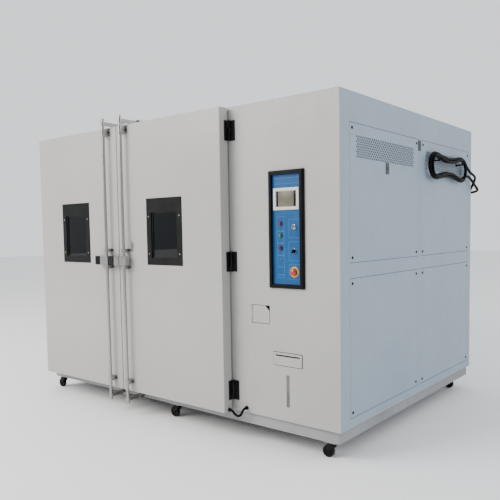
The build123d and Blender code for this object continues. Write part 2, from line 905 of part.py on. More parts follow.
hooks = []
for y_hook in hook_places:
    turn = math.acos((y_hook - loop_middle) / loop_half_length)
    z_hook = z_foot + loop_level + loop_waist * loop_lift(turn) - loop_band / 2 - hook_radius - 2
    y_at = y_front + y_hook
    with BuildPart() as hook:
        with BuildSketch(side(x_right)):
            disc(y_at, z_hook, hook_foot_radius)
        extrude(amount=hook_foot_sheet)
        with BuildLine(Plane.XZ.offset(-y_at)) as bend:
            FilletPolyline(
                (x_right, z_hook),
                (x_right + hook_reach - hook_radius, z_hook),
                (x_right + hook_reach - hook_radius, z_hook + hook_tip),
                radius=hook_bend,
            )
        with BuildSketch(Plane(origin=(x_right, y_at, z_hook), z_dir=(1, 0, 0))):
            Circle(hook_radius)
        sweep(path=bend.wires()[0])
    hooks.append(hook.part)
upper_side_panels = Compound(label="upper_side_panels", children=[upper_plates.part, *hooks])
export_step(upper_side_panels, "parts/upper_side_panels.step")

# Panel fasteners: sixteen screws and two flat catches on the upper panels
catch_size = (43.0, 70.0)
catch_thick = 4.0
catch_corner = 4.0
catch_places = ((582.0, 1598.0), (1069.0, 1787.0))
with BuildPart() as panel_fasteners:
    for bay in panel_columns:
        for span in (upper_z, lower_z):
            for y_at in grow(bay, -screw_inset):
                for z_at in grow(span, -screw_inset):
                    with BuildSketch(side(x_right)):
                        disc(y_at, z_at, screw_head_radius)
                    extrude(amount=screw_head, taper=screw_taper)
                    with BuildSketch(side(x_right)):
                        disc(y_at, z_at, screw_shank)
                    extrude(amount=-screw_shank_length)
    for y_at, z_at in catch_places:
        with BuildSketch(side(x_right)):
            with Locations((y_front + y_at, z_foot + z_at)):
                RectangleRounded(*catch_size, catch_corner)
        extrude(amount=catch_thick)
finish(panel_fasteners, "panel_fasteners")

# Cabinet side of the hinges, and the lock rods' keepers on roof and plinth
hinge_sides = ((x_left + jamb_strip, -1), (x_control, 1))
rod_columns = {"left": x_split - rod_offset, "right": x_split + rod_offset}
third = hinge_height / 3
cam_z = {"foot": z_foot + cam_clear, "top": z_roof + cam_clear}
lip_z = cam_clear + cam_thick + keeper_gap
cable_gland_radius = 12.0
door_cable_panel = (x_right - 682.0, z_foot + 103.0)
gland_length = 10.0

with BuildPart() as cabinet_fittings:
    for edge, out in hinge_sides:
        pin_x = edge + out * pin_offset
        for place in hinge_levels:
            low = z_foot + place - hinge_height / 2
            with BuildSketch(level(low)):
                rect(
                    (edge + out * (pin_offset / 2), edge + out * hinge_leaf_reach),
                    (y_front - hinge_leaf, y_front),
                )
            extrude(amount=hinge_height)
            for z_at in (low, low + 2 * third):
                with BuildSketch(level(z_at)):
                    disc(pin_x, y_pin, knuckle_radius)
                    rect((pin_x, pin_x + out * knuckle_radius), (y_pin, y_front))
                extrude(amount=third)
            with BuildSketch(level(low)):
                disc(pin_x, y_pin, pin_radius)
            extrude(amount=hinge_height)
    with BuildSketch(front(y_front)):
        disc(door_cable_panel[0], door_cable_panel[1], cable_gland_radius)
    extrude(amount=gland_length)

plinth_face = y_front + plinth_inset
keeper_top = z_roof + lip_z + keeper_wall
keeper_base_top = z_roof + keeper_sheet
stop_y = y_rod + cam_reach_top + cam_nose + keeper_gap
stop_end = stop_y + keeper_stop
foot_y = (plinth_face - keeper_foot_reach, plinth_face - keeper_sheet)
keepers = []
for which, x_rod in rod_columns.items():
    inward = 1 if which == "left" else -1
    ear_near = x_rod + inward * (cam_root + keeper_gap)
    ear_far = ear_near + inward * keeper_wall
    outer_side = x_rod - inward * keeper_side
    cover_side = x_rod - inward * keeper_cover_side
    plate_span = (outer_side, ear_far)
    ear_span = (ear_near, ear_far)
    base_y = (y_front + keeper_setback, stop_y + keeper_tail)
    ear_y = (y_front + 2 * keeper_setback, stop_y)
    cover_y = (y_front + 3 * keeper_setback, stop_y)
    keepers += [
        slab(plate_span, base_y, (z_roof, keeper_base_top)),
        slab(plate_span, (stop_y, stop_end), (keeper_base_top, keeper_top)),
        slab(ear_span, ear_y, (keeper_base_top, keeper_top)),
        slab((cover_side, ear_near), cover_y, (z_roof + lip_z, keeper_top)),
        slab(plate_span, (foot_y[1], plinth_face), (z_foot + keeper_foot_low, z_foot + keeper_foot_high)),
        slab(ear_span, foot_y, (z_foot + keeper_foot_low, z_foot + keeper_ear_high)),
        slab((cover_side, ear_near), foot_y, (z_foot, z_foot + keeper_sheet)),
    ]
assemble("cabinet_fittings", [*cabinet_fittings.part.solids(), *keepers])

# Door seal: a soft ring round the chamber mouth, just behind the closed doors
seal_inner_x = grow((inner_left, inner_right), seal_inset)
seal_inner_z = grow((inner_floor, inner_top), seal_inset)
with BuildPart() as door_gasket:
    with BuildSketch(front(y_front)):
        rect(grow(seal_inner_x, seal_band), grow(seal_inner_z, seal_band))
        rect(seal_inner_x, seal_inner_z, mode=Mode.SUBTRACT)
    extrude(amount=seal_thick - seat_gap)
    fillet(door_gasket.faces().sort_by(Axis.Y)[0].edges(), radius=seal_round)
finish(door_gasket, "door_gasket")

# Doors
door_cable_door = (y_front - 45.0, z_foot + 80.0)
lever_z = z_foot + lever_foot
doors = {
    "left": {"low": x_left + jamb_strip, "edge": x_left + jamb_strip, "out": -1},
    "right": {"low": x_split + door_gap / 2, "edge": x_control, "out": 1},
}
doors["left"]["plug"] = (inner_left + plug_clear, x_split - door_gap / 2 - split_clear)
doors["right"]["plug"] = (x_split + door_gap / 2 + split_clear, inner_right - plug_clear)

for which, door in doors.items():
    out = door["out"]
    span_x = (door["low"], door["low"] + door_width)
    frame_x = (door["low"] + window_from_left, door["low"] + window_from_left + window_frame_width)
    frame_z = (door_low + window_sill, door_low + window_sill + window_frame_height)
    view_x = grow(frame_x, -(window_frame_width - window_width) / 2)
    view_z = (frame_z[0] + window_border_foot, frame_z[0] + window_border_foot + window_height)

    # Foam core: it fills the outer pan and, through the mouth, the tapered inner plug
    plug_z = grow((inner_floor, inner_top), -plug_clear)
    core_x = grow(span_x, -door_skin)
    core_z = grow((door_low, door_high), -door_skin)
    tunnel_x = grow(view_x, window_sleeve + fit_gap)
    tunnel_z = grow(view_z, window_sleeve + fit_gap)
    with BuildPart() as door_core:
        with BuildSketch(front(y_door_back - tray_sheet)):
            rect(core_x, core_z)
        extrude(amount=door_thick - door_skin - tray_sheet)
        with BuildSketch(front(y_door_back - tray_sheet)):
            rect(grow(door["plug"], -tray_sheet), grow(plug_z, -tray_sheet))
        extrude(amount=-(seal_thick + plug_reach))
        chamfer(door_core.faces().sort_by(Axis.Y)[-1].edges(), length=plug_taper)
        with BuildSketch(front(y_door_back)):
            rect(tunnel_x, tunnel_z)
        extrude(amount=door_thick, both=True, mode=Mode.SUBTRACT)
    finish(door_core, f"{which}_door_core")

    # Outer pan with rounded front edges, open at the back
    with BuildPart() as outer_pan:
        with BuildSketch(front(y_door_back)):
            rect(span_x, (door_low, door_high))
        extrude(amount=door_thick)
        fillet(outer_pan.faces().sort_by(Axis.Y)[0].edges(), radius=door_round)
        with BuildSketch(front(y_door_back)):
            rect(core_x, core_z)
        extrude(amount=door_thick - door_skin, mode=Mode.SUBTRACT)
        with BuildSketch(front(y_door_back)):
            rect(tunnel_x, tunnel_z)
        extrude(amount=door_thick, mode=Mode.SUBTRACT)

    # Inner tray: a back sheet inside the pan with the plug drawn out of it
    with BuildPart() as inner_tray:
        with BuildSketch(front(y_door_back)):
            rect(core_x, core_z)
        extrude(amount=tray_sheet)
        with BuildSketch(front(y_door_back)):
            rect(door["plug"], plug_z)
        extrude(amount=-(seal_thick + plug_reach))
        chamfer(inner_tray.faces().sort_by(Axis.Y)[-1].edges(), length=plug_taper)
        with BuildSketch(front(y_door_back)):
            rect(tunnel_x, tunnel_z)
        extrude(amount=door_thick, both=True, mode=Mode.SUBTRACT)
        add(door_core.part, mode=Mode.SUBTRACT)
    assemble(f"{which}_door_shell", [outer_pan.part, inner_tray.part])

    # Window frame: flange on the door's face and a sleeve through shell and plug
    with BuildPart() as window_frame:
        with BuildSketch(front(y_door_face)):
            rect(frame_x, frame_z)
        extrude(amount=window_flange)
        chamfer(window_frame.faces().sort_by(Axis.Y)[0].edges(), length=2)
        with BuildSketch(front(y_door_face)):
            rect(grow(view_x, window_sleeve), grow(view_z, window_sleeve))
        extrude(amount=-(door_thick + seal_thick + plug_reach))
        with BuildSketch(front(y_door_face - window_flange)):
            rect(view_x, view_z)
        extrude(amount=-(window_flange + door_thick + seal_thick + plug_reach), mode=Mode.SUBTRACT)
    finish(window_frame, f"{which}_window_frame")

    # Outer and inner panes
    with BuildPart() as window_glass:
        for y_pane, thick in (
            (y_door_face + pane_recess, pane_thick),
            (y_front + plug_reach - inner_pane_setback, inner_pane_thick),
        ):
            with BuildSketch(front(y_pane)):
                rect(grow(view_x, -fit_gap), grow(view_z, -fit_gap))
            extrude(amount=-thick)
    finish(window_glass, f"{which}_window_glass")

    # Door side of the hinges, the rod guides and the lever catch
    x_rod = rod_columns[which]
    edge = door["edge"]
    pin_x = edge + out * pin_offset
    with BuildPart() as door_fittings:
        for place in hinge_levels:
            low = z_foot + place - hinge_height / 2
            with BuildSketch(level(low)):
                rect((edge, edge + out * hinge_leaf), (y_pin - door_leaf_reach, y_pin - leaf_clear))
            extrude(amount=hinge_height)
            with BuildSketch(level(low + third + knuckle_gap)):
                rect((edge, pin_x), (y_pin - knuckle_web, y_pin))
                disc(pin_x, y_pin, knuckle_radius)
                disc(pin_x, y_pin, pin_radius + running_gap, mode=Mode.SUBTRACT)
            extrude(amount=third - 2 * knuckle_gap)
        for place, tall in guide_heights:
            with BuildSketch(level(z_foot + place)):
                rect(grow((x_rod, x_rod), guide_base_half), (y_door_face - guide_base_sheet, y_door_face))
                rect(grow((x_rod, x_rod), guide_half), (y_rod, y_door_face))
                disc(x_rod, y_rod, guide_half)
                disc(x_rod, y_rod, rod_radius + running_gap, mode=Mode.SUBTRACT)
            extrude(amount=tall)
        with BuildSketch(level(lever_z)):
            catch_x = (x_rod - out * (hub_inner + catch_gap), x_split + out * (door_gap / 2 + catch_inset))
            rect(catch_x, (y_rod - lever_half, y_door_face))
        extrude(amount=lever_height)
        if which == "right":
            with BuildSketch(side(x_control)):
                disc(door_cable_door[0], door_cable_door[1], cable_gland_radius)
            extrude(amount=gland_length)
    finish(door_fittings, f"{which}_door_fittings")

    # Lock rod with its two cams and lever hub, and the grip on the hub
    hub_outer = left_hub_outer if which == "left" else right_hub_outer
    with BuildPart() as bar:
        with BuildSketch(level(z_foot - rod_below_plinth)):
            disc(x_rod, y_rod, rod_radius)
        extrude(amount=cabinet_height + rod_below_plinth + rod_above_roof)
    pieces = [bar.part]
    for z_at, reach in ((cam_z["foot"], cam_reach_foot), (cam_z["top"], cam_reach_top)):
        with BuildPart() as cam:
            with BuildSketch(level(z_at)):
                disc(x_rod, y_rod, cam_root)
                disc(x_rod, y_rod + reach, cam_nose)
                make_hull()
                disc(x_rod, y_rod, rod_radius, mode=Mode.SUBTRACT)
            extrude(amount=cam_thick)
        pieces.append(cam.part)
    with BuildPart() as hub:
        hub_x = (x_rod - out * hub_inner, x_rod + out * hub_outer)
        with BuildSketch(level(lever_z)):
            rect(hub_x, (y_rod - lever_half, y_rod + lever_half - hub_clear))
            disc(x_rod, y_rod, rod_radius, mode=Mode.SUBTRACT)
        extrude(amount=lever_height)
    pieces.append(hub.part)
    if which == "left":
        with BuildPart() as grip:
            grip_y = (y_rod - lever_half + hub_clear, y_rod + lever_half - grip_clear)
            with BuildSketch(level(lever_z)):
                rect((x_rod - left_grip_outer, x_rod - hub_outer), grip_y)
            extrude(amount=lever_height)
            fillet(grip.edges().filter_by(Axis.Z).group_by(Axis.X)[0], radius=grip_round)
        pieces.append(grip.part)
    assemble(f"{which}_lock_rod", pieces)

# Cable port through the left wall
with BuildPart() as cable_port:
    with BuildSketch(side(x_left)):
        disc(port_y, port_z, port_outer)
    extrude(amount=sheet + foam + liner_sheet + port_inner_sheet)
    with BuildSketch(side(x_left)):
        disc(port_y, port_z, port_outer + port_flange)
    extrude(amount=-port_outer_sheet)
    with BuildSketch(side(x_left)):
        disc(port_y, port_z, port_outer)
    extrude(amount=-port_reach)
    with BuildSketch(side(inner_left)):
        disc(port_y, port_z, port_outer + port_flange)
    extrude(amount=port_inner_sheet)
    with BuildSketch(side(x_left - port_reach)):
        disc(port_y, port_z, port_radius)
    extrude(amount=port_reach + sheet + foam + liner_sheet + port_inner_sheet, mode=Mode.SUBTRACT)
finish(cable_port, "cable_port")

# Air baffle: a stainless sheet with two guarded fan mouths and return slots at the foot
y_baffle = y_front + baffle_from_front
fan_columns = (inner_middle - fan_spread, inner_middle + fan_spread)
fan_z = z_foot + fan_level
guard_ring = guard_ring_share * fan_opening
with BuildPart() as air_baffle:
    with BuildSketch(front(y_baffle)):
        rect((inner_left, inner_right), (inner_floor + return_gap, inner_top))
        for x_at in fan_columns:
            disc(x_at, fan_z, fan_opening, mode=Mode.SUBTRACT)
            for bar_number in range(guard_bars):
                with Locations((x_at, fan_z)):
                    turn = 180 / guard_bars * bar_number
                    Rectangle(2 * fan_opening + guard_bar_lap, guard_bar, rotation=turn)
            with Locations((x_at, fan_z)):
                Circle(guard_ring)
                Circle(guard_ring - guard_bar, mode=Mode.SUBTRACT)
                for bar_number in range(guard_bars):
                    turn = 180 / guard_bars * bar_number
                    Rectangle(2 * guard_ring - guard_bar, guard_bar, rotation=turn)
                Circle(fan_hub)
        slot_length = (inner_right - inner_left) / return_columns - return_margin
        slots_middle = inner_floor + return_margin + return_rows * return_slot_pitch / 2
        slot_step = slot_length + return_slot_gap
        with Locations((inner_middle, slots_middle)):
            with GridLocations(slot_step, return_slot_pitch, return_columns, return_rows):
                SlotOverall(slot_length, return_slot, mode=Mode.SUBTRACT)
    extrude(amount=-baffle_sheet)
finish(air_baffle, "air_baffle")

# Circulation fans: five tilted blades on a hub, turning on the motor's shaft
fan_y = y_baffle + baffle_sheet + fan_depth / 2 + fan_gap
for which, x_at in zip(("left", "right"), fan_columns):
    with BuildPart() as fan:
        with BuildSketch(front(fan_y + fan_depth / 2)):
            disc(x_at, fan_z, fan_hub)
        extrude(amount=fan_depth)
        for blade in range(blade_count):
            turn = 2 * math.pi * blade / blade_count + math.pi / 2
            out_way = (math.cos(turn), 0, math.sin(turn))
            tilt = math.radians(blade_angle)
            face_way = (-math.sin(turn) * math.sin(tilt), -math.cos(tilt), math.cos(turn) * math.sin(tilt))
            blade_plane = Plane(origin=(x_at, fan_y, fan_z), x_dir=out_way, z_dir=face_way)
            with BuildSketch(blade_plane):
                with BuildLine():
                    Polyline(
                        (blade_root, -blade_root_half),
                        (blade_shoulder, -blade_half),
                        (blade_tip, 0),
                        (blade_shoulder, blade_half),
                        (blade_root, blade_root_half),
                        close=True,
                    )
                make_face()
            extrude(amount=blade_thick / 2, both=True)
        with BuildSketch(front(fan_y + fan_depth / 2)):
            disc(x_at, fan_z, shaft_radius + running_gap)
        extrude(amount=fan_depth - fan_front_wall, mode=Mode.SUBTRACT)
    finish(fan, f"circulation_fan_{which}")

# Air handler: fan motors with shafts, the finned coil on two end plates, and the heaters
with BuildPart() as air_handler:
    for x_at in fan_columns:
        with BuildSketch(front(inner_back)):
            disc(x_at, fan_z, motor_radius)
        extrude(amount=motor_length)
        with BuildSketch(front(inner_back - motor_length)):
            disc(x_at, fan_z, shaft_radius)
        extrude(amount=inner_back - motor_length - fan_y + fan_depth / 2 - shaft_end_gap)
    coil_x = (inner_middle - coil_width / 2, inner_middle + coil_width / 2)
    coil_z = (z_foot + coil_foot, z_foot + coil_foot + coil_height)
    coil_front = y_baffle + baffle_sheet + coil_gap
    with BuildSketch(level(coil_z[0])):
        rect(coil_x, grow((coil_front, coil_front + coil_depth), -fin_overhang))
        with Locations((inner_middle, coil_front + coil_depth / 2)):
            with GridLocations(coil_width / (coil_fins + 1), 1, coil_fins, 1):
                Rectangle(fin_sheet, coil_depth)
        for x_end in (coil_x[0] - fin_sheet, coil_x[1]):
            rect((x_end, x_end + fin_sheet), (coil_front - end_plate_reach, inner_back))
    extrude(amount=coil_height)
    with BuildSketch(side(coil_x[0])):
        for row in range(heater_count):
            disc(coil_front - heater_gap, coil_z[0] + heater_foot + row * heater_pitch, heater_radius)
    extrude(amount=coil_width)
finish(air_handler, "air_handler")

# Refrigeration unit on its tray in the machine space
tray_x_span = (x_right - tray_from_right - tray_width, x_right - tray_from_right)
tray_y_span = (y_rear - tray_from_rear - tray_depth, y_rear - tray_from_rear)
unit_floor = z_deck + tray_foot
compressor_x = tray_x_span[0] + compressor_inset
compressor_y = tray_y_span[0] + compressor_inset
receiver_y = tray_y_span[0] + receiver_from_front
with BuildPart() as refrigeration_unit:
    with BuildSketch(level(z_deck)):
        rect(tray_x_span, tray_y_span)
    extrude(amount=tray_foot)
    with BuildSketch(level(unit_floor)):
        disc(compressor_x, compressor_y, compressor_radius)
    extrude(amount=compressor_height)
    fillet(refrigeration_unit.faces().sort_by(Axis.Z)[-1].edges(), radius=compressor_dome)
    with BuildSketch(side(tray_x_span[0] + receiver_inset)):
        disc(receiver_y, unit_floor + receiver_radius + receiver_lift, receiver_radius)
        rect(grow((receiver_y, receiver_y), saddle_half), (unit_floor, unit_floor + receiver_radius))
    extrude(amount=receiver_length)
    with BuildSketch(front(tray_y_span[1])):
        rect(grow(tray_x_span, -condenser_inset), (unit_floor, unit_floor + condenser_height))
    extrude(amount=condenser_depth)
finish(refrigeration_unit, "refrigeration_unit")

# Casters: a swivelling fork with its axle, and a wheel
z_race = z_foot - caster_plate_thick - seat_gap
z_crown = z_race - race_height
leg_inside = wheel_width / 2 + fork_gap
fork_names = ("front_left", "front_middle", "front_right", "rear_left", "rear_middle", "rear_right")
columns = sorted({place[0] for place in caster_places})
rows = sorted({place[1] for place in caster_places})
spots = [(x_at, y_at) for y_at in rows for x_at in columns]
for caster, (x_at, y_at) in zip(fork_names, spots):
    axle_x = x_at - wheel_trail
    with BuildPart() as fork:
        with BuildSketch(level(z_race)):
            disc(x_at, y_at, race_radius)
        extrude(amount=-race_height, taper=race_taper)
        with BuildSketch(level(z_race)):
            disc(x_at, y_at, king_pin)
        extrude(amount=king_pin_height)
        crown_x = (x_at - crown_back, x_at + crown_front)
        with BuildSketch(level(z_crown)):
            rect(crown_x, grow((y_at, y_at), leg_inside + fork_sheet))
        extrude(amount=-crown_sheet)
        for turned in (-1, 1):
            with BuildSketch(front(y_at + turned * leg_inside)):
                disc(axle_x, wheel_radius, leg_foot_radius)
                rect(crown_x, (z_crown - crown_sheet, z_crown))
                make_hull()
            extrude(amount=-turned * fork_sheet)
        with BuildSketch(front(y_at - leg_inside - fork_sheet - axle_end)):
            disc(axle_x, wheel_radius, axle_radius)
        extrude(amount=-2 * (leg_inside + fork_sheet + axle_end))
    finish(fork, f"caster_fork_{caster}")
    with BuildPart() as wheel:
        with BuildSketch(front(y_at - wheel_width / 2)):
            disc(axle_x, wheel_radius, wheel_radius)
            disc(axle_x, wheel_radius, axle_radius + running_gap, mode=Mode.SUBTRACT)
        extrude(amount=-wheel_width)
        rims = wheel.edges().filter_by(GeomType.CIRCLE).group_by(SortBy.RADIUS)[-1]
        fillet(rims, radius=tyre_round)
        for face_y, way in ((y_at - wheel_width / 2, -1), (y_at + wheel_width / 2, 1)):
            with BuildSketch(front(face_y)):
                disc(axle_x, wheel_radius, wheel_radius * web_share)
                disc(axle_x, wheel_radius, axle_radius + hub_wall, mode=Mode.SUBTRACT)
            extrude(amount=way * web_recess, mode=Mode.SUBTRACT)
    finish(wheel, f"caster_wheel_{caster}")


def smooth_radii(points):
    """Radius of each corner of a route: as large as the two runs beside it allow."""
    radii = []
    for before, corner, after in zip(points, points[1:], points[2:]):
        run_in = Vector(*corner) - Vector(*before)
        run_out = Vector(*after) - Vector(*corner)
        turn = math.radians(run_in.get_angle(run_out))
        radii.append(corner_share * min(run_in.length, run_out.length) / math.tan(turn / 2))
    return radii


def cord_tube(points, diameter):
    """A plain tube along straight runs joined by tangent arcs."""
    with BuildPart() as tube:
        with BuildLine() as route:
            FilletPolyline(*points, radius=smooth_radii(points))
        start_way = Vector(*points[1]) - Vector(*points[0])
        with BuildSketch(Plane(origin=points[0], z_dir=start_way)):
            Circle(diameter / 2)
        sweep(path=route.wires()[0])
    return tube.part


# Door cable: from the gland on the door's side, down in a shallow V and into the front sheet
door_cable_points = [
    (x_control + gland_length, door_cable_door[0], door_cable_door[1]),
    (x_control + 27, door_cable_door[0], door_cable_door[1]),
    (x_control + 45, y_front - 43, z_foot + 58),
    (x_control + 70, y_front - 40, z_foot + 47),
    (x_control + 94, y_front - 38, z_foot + 62),
    (door_cable_panel[0] - 6, y_front - 38, door_cable_panel[1] - 12),
    (door_cable_panel[0], y_front - 26, door_cable_panel[1]),
    (door_cable_panel[0], y_front - gland_length, door_cable_panel[1]),
]
door_cable = cord_tube(door_cable_points, door_cable_diameter)
door_cable.label = "door_cable"
export_step(door_cable, "parts/door_cable.step")

# Mains cable: from the gland on the rear sheet round the rear edge to the loop hung on the side,
# and from the loop back round the edge to the plug that hangs behind the cabinet
rear_gland = (x_right - rear_gland_inset, z_foot + rear_gland_level)
z_loop = z_foot + loop_level
x_loop = x_right + loop_stand + loop_thick / 2
inlet_points = [
    (rear_gland[0], y_rear + rear_gland_length, rear_gland[1]),
    (rear_gland[0], y_rear + 82, rear_gland[1]),
    (rear_gland[0] + 26, y_rear + 130, rear_gland[1] + 6),
    (rear_gland[0] + 76, y_rear + 158, rear_gland[1] + 13),
    (x_right - 14, y_rear + 146, rear_gland[1] + 21),
    (x_right + 24, y_rear + 98, rear_gland[1] + 29),
    (x_loop + 2, y_rear + 36, rear_gland[1] + 44),
    (x_loop + 1, y_rear - 28, rear_gland[1] + 72),
    (x_loop, y_rear - 92, rear_gland[1] + 112),
    (x_loop - 1, y_rear - 158, rear_gland[1] + 144),
    (x_loop, y_rear - 224, rear_gland[1] + 158),
]
outlet_points = [
    (x_loop, y_rear - 240, z_loop + 38),
    (x_loop + 1, y_rear - 180, z_loop + 16),
    (x_loop, y_rear - 112, z_loop - 14),
    (x_loop + 1, y_rear - 44, z_loop - 28),
    (x_right + 26, y_rear + 22, z_loop - 36),
    (x_right + 6, y_rear + 72, z_loop - 60),
    (x_right - 24, y_rear + 92, z_loop - 108),
    (x_right - 52, y_rear + 84, z_loop - 170),
    (x_right - 72, y_rear + 62, z_loop - 234),
    (x_right - 80, y_rear + 48, z_loop - 300),
    (x_right - 80, y_rear + 48, z_loop - 366),
]
inlet = cord_tube(inlet_points, cable_diameter)
outlet = cord_tube(outlet_points, cable_diameter)
mains_cable = Compound(label="mains_cable", children=[inlet, outlet])
export_step(mains_cable, "parts/mains_cable.step")


def loop_outline(shift):
    """Points of the hung loop's outline, moved outwards by a distance from its centre line."""
    points = []
    for step in range(loop_points):
        turn = 2 * math.pi * step / loop_points
        along = loop_half_length * math.cos(turn)
        up = loop_waist * loop_lift(turn)
        d_along = -loop_half_length * math.sin(turn)
        swell = 1 + loop_swell * math.cos(turn) ** 2
        d_swell = -2 * loop_swell * math.cos(turn) * math.sin(turn)
        d_up = loop_waist * (math.cos(turn) * swell + math.sin(turn) * d_swell)
        size = math.hypot(d_along, d_up)
        points.append(
            (
                y_front + loop_middle + along + shift * d_up / size,
                z_foot + loop_level + up - shift * d_along / size,
            )
        )
    return points


with BuildPart() as mains_cable_coil:
    with BuildSketch(side(x_right + loop_stand)):
        with BuildLine():
            Spline(*loop_outline(loop_band / 2), periodic=True)
        make_face()
        with BuildLine():
            Spline(*loop_outline(-loop_band / 2), periodic=True)
        make_face(mode=Mode.SUBTRACT)
    extrude(amount=loop_thick)
finish(mains_cable_coil, "mains_cable_coil")

# Mains cable ends: the gland on the rear sheet and the plug on the hanging end
with BuildPart() as mains_cable_ends:
    with BuildSketch(front(y_rear)):
        with Locations(rear_gland):
            RegularPolygon(gland_nut_radius, 6)
    extrude(amount=-gland_nut_height)
    with BuildSketch(front(y_rear + gland_nut_height)):
        disc(rear_gland[0], rear_gland[1], gland_neck_radius)
    extrude(amount=-(rear_gland_length - gland_nut_height), taper=8)
    plug_top = outlet_points[-1]
    with BuildSketch(level(plug_top[2])):
        disc(plug_top[0], plug_top[1], plug_neck_radius)
    extrude(amount=-plug_neck_length, taper=-20)
    with BuildSketch(level(plug_top[2] - plug_neck_length)):
        disc(plug_top[0], plug_top[1], plug_radius)
    extrude(amount=-(plug_length - plug_neck_length))
finish(mains_cable_ends, "mains_cable_ends")
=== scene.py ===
# %% [markdown]
# # A walk-in climate chamber, dressed over its construction model
# The construction model gives every solid its real place, and it moves. This lesson
# lights it, sets the camera where the photographer stood, lays the two cables, gives
# each surface its finish, and models by hand the parts that carry fine detail:
# perforated plates, cable hooks, switches, the display, screws and seals.

# %% The frame
import math

import bpy
from mathutils import Matrix, Vector


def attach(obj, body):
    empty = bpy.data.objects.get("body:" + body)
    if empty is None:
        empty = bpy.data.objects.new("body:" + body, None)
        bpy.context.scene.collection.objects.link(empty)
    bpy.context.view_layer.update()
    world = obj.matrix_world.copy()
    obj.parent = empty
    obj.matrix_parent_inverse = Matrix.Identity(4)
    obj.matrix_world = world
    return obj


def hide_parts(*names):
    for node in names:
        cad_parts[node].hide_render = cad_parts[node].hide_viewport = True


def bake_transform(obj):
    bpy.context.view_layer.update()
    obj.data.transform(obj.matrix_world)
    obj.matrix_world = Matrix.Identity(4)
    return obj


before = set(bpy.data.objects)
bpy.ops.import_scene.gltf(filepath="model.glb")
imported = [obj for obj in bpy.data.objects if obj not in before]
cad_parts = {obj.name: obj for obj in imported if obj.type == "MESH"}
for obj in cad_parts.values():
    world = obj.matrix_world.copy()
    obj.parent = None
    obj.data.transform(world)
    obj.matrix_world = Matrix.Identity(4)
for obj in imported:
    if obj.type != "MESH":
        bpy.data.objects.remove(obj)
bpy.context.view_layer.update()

# %% [markdown]
# The camera comes first, because everything visible is judged from it. A pinhole
# camera was fitted to the cabinet's corners: its place, its three angles, the focal
# length and the point where its axis meets the picture. Blender takes the axes as a
# matrix and the off-centre axis as a small shift, so straight edges stay straight.

# %% Camera
picture_pixels = 500
focal_pixels = 595.11
axis_pixel = (244.97, 271.29)
camera_place = Vector((3.08724, -3.84821, 1.33365))
yaw, pitch, roll = math.radians(39.477), math.radians(-3.927), math.radians(-0.935)

ahead = Vector((-math.sin(yaw) * math.cos(pitch), math.cos(yaw) * math.cos(pitch), math.sin(pitch)))
level_right = Vector((math.cos(yaw), math.sin(yaw), 0))
level_up = level_right.cross(ahead)
right = math.cos(roll) * level_right + math.sin(roll) * level_up
up = math.cos(roll) * level_up - math.sin(roll) * level_right

bpy.ops.object.select_all(action="DESELECT")
bpy.ops.object.camera_add(location=camera_place)
camera = bpy.context.object
camera.name = "photo_camera"
camera_turn = Matrix((right, up, -ahead)).transposed().to_4x4()
camera.matrix_world = Matrix.Translation(camera_place) @ camera_turn
camera.data.lens = camera.data.sensor_width * focal_pixels / picture_pixels
camera.data.shift_x = 0.5 - axis_pixel[0] / picture_pixels
camera.data.shift_y = axis_pixel[1] / picture_pixels - 0.5
bpy.context.scene.camera = camera
print("lens", round(camera.data.lens, 2), "mm")

# %% [markdown]
# Small helpers follow the way a person works in the viewport. A primitive is added at
# its size and place, the transform is applied so that the place is in the mesh, faces
# are picked by where they are or which way they point, and edges are softened last.
# Metal and plastic edges are never perfectly sharp: the bright line that a small round
# catches is what makes a box look made.

# %% Modelling helpers
along = {"X": Vector((1, 0, 0)), "Y": Vector((0, 1, 0)), "Z": Vector((0, 0, 1))}
tilt = {"X": (0, math.pi / 2, 0), "Y": (-math.pi / 2, 0, 0), "Z": (0, 0, 0)}
smooth_angle = math.radians(35)


def only(*pieces):
    """Selects these pieces and nothing else, and makes the first one active."""
    bpy.ops.object.select_all(action="DESELECT")
    for piece in pieces:
        piece.select_set(True)
    bpy.context.view_layer.objects.active = pieces[0]


def settle(piece):
    """Puts the piece's place, turn and scale into its mesh."""
    only(piece)
    bpy.ops.object.transform_apply(location=True, rotation=True, scale=True)
    return piece


def block(name, low, high):
    """A box between two corners."""
    middle = [(a + b) / 2 for a, b in zip(low, high)]
    size = [b - a for a, b in zip(low, high)]
    bpy.ops.object.select_all(action="DESELECT")
    bpy.ops.mesh.primitive_cube_add(size=1, location=middle, scale=size)
    bpy.context.object.name = name
    return settle(bpy.context.object)


def turned(name, foot, axis, profile, sides=32):
    """A lathe piece: a disc at the foot, extruded and resized through (radius, height) steps."""
    foot = Vector(foot)
    radius, height = profile[0]
    bpy.ops.object.select_all(action="DESELECT")
    bpy.ops.mesh.primitive_circle_add(
        vertices=sides, radius=radius, fill_type="NGON",
        location=foot + along[axis] * height, rotation=tilt[axis]
    )
    piece = settle(bpy.context.object)
    piece.name = name
    bpy.ops.object.mode_set(mode="EDIT")
    bpy.ops.mesh.select_all(action="SELECT")
    for next_radius, next_height in profile[1:]:
        rise = along[axis] * (next_height - height)
        bpy.ops.mesh.extrude_region_move(TRANSFORM_OT_translate={"value": rise})
        grow = next_radius / radius
        bpy.ops.transform.resize(value=(grow, grow, grow), center_override=foot + along[axis] * next_height)
        radius, height = next_radius, next_height
    bpy.ops.mesh.select_all(action="SELECT")
    bpy.ops.mesh.normals_make_consistent(inside=False)
    bpy.ops.object.mode_set(mode="OBJECT")
    return piece


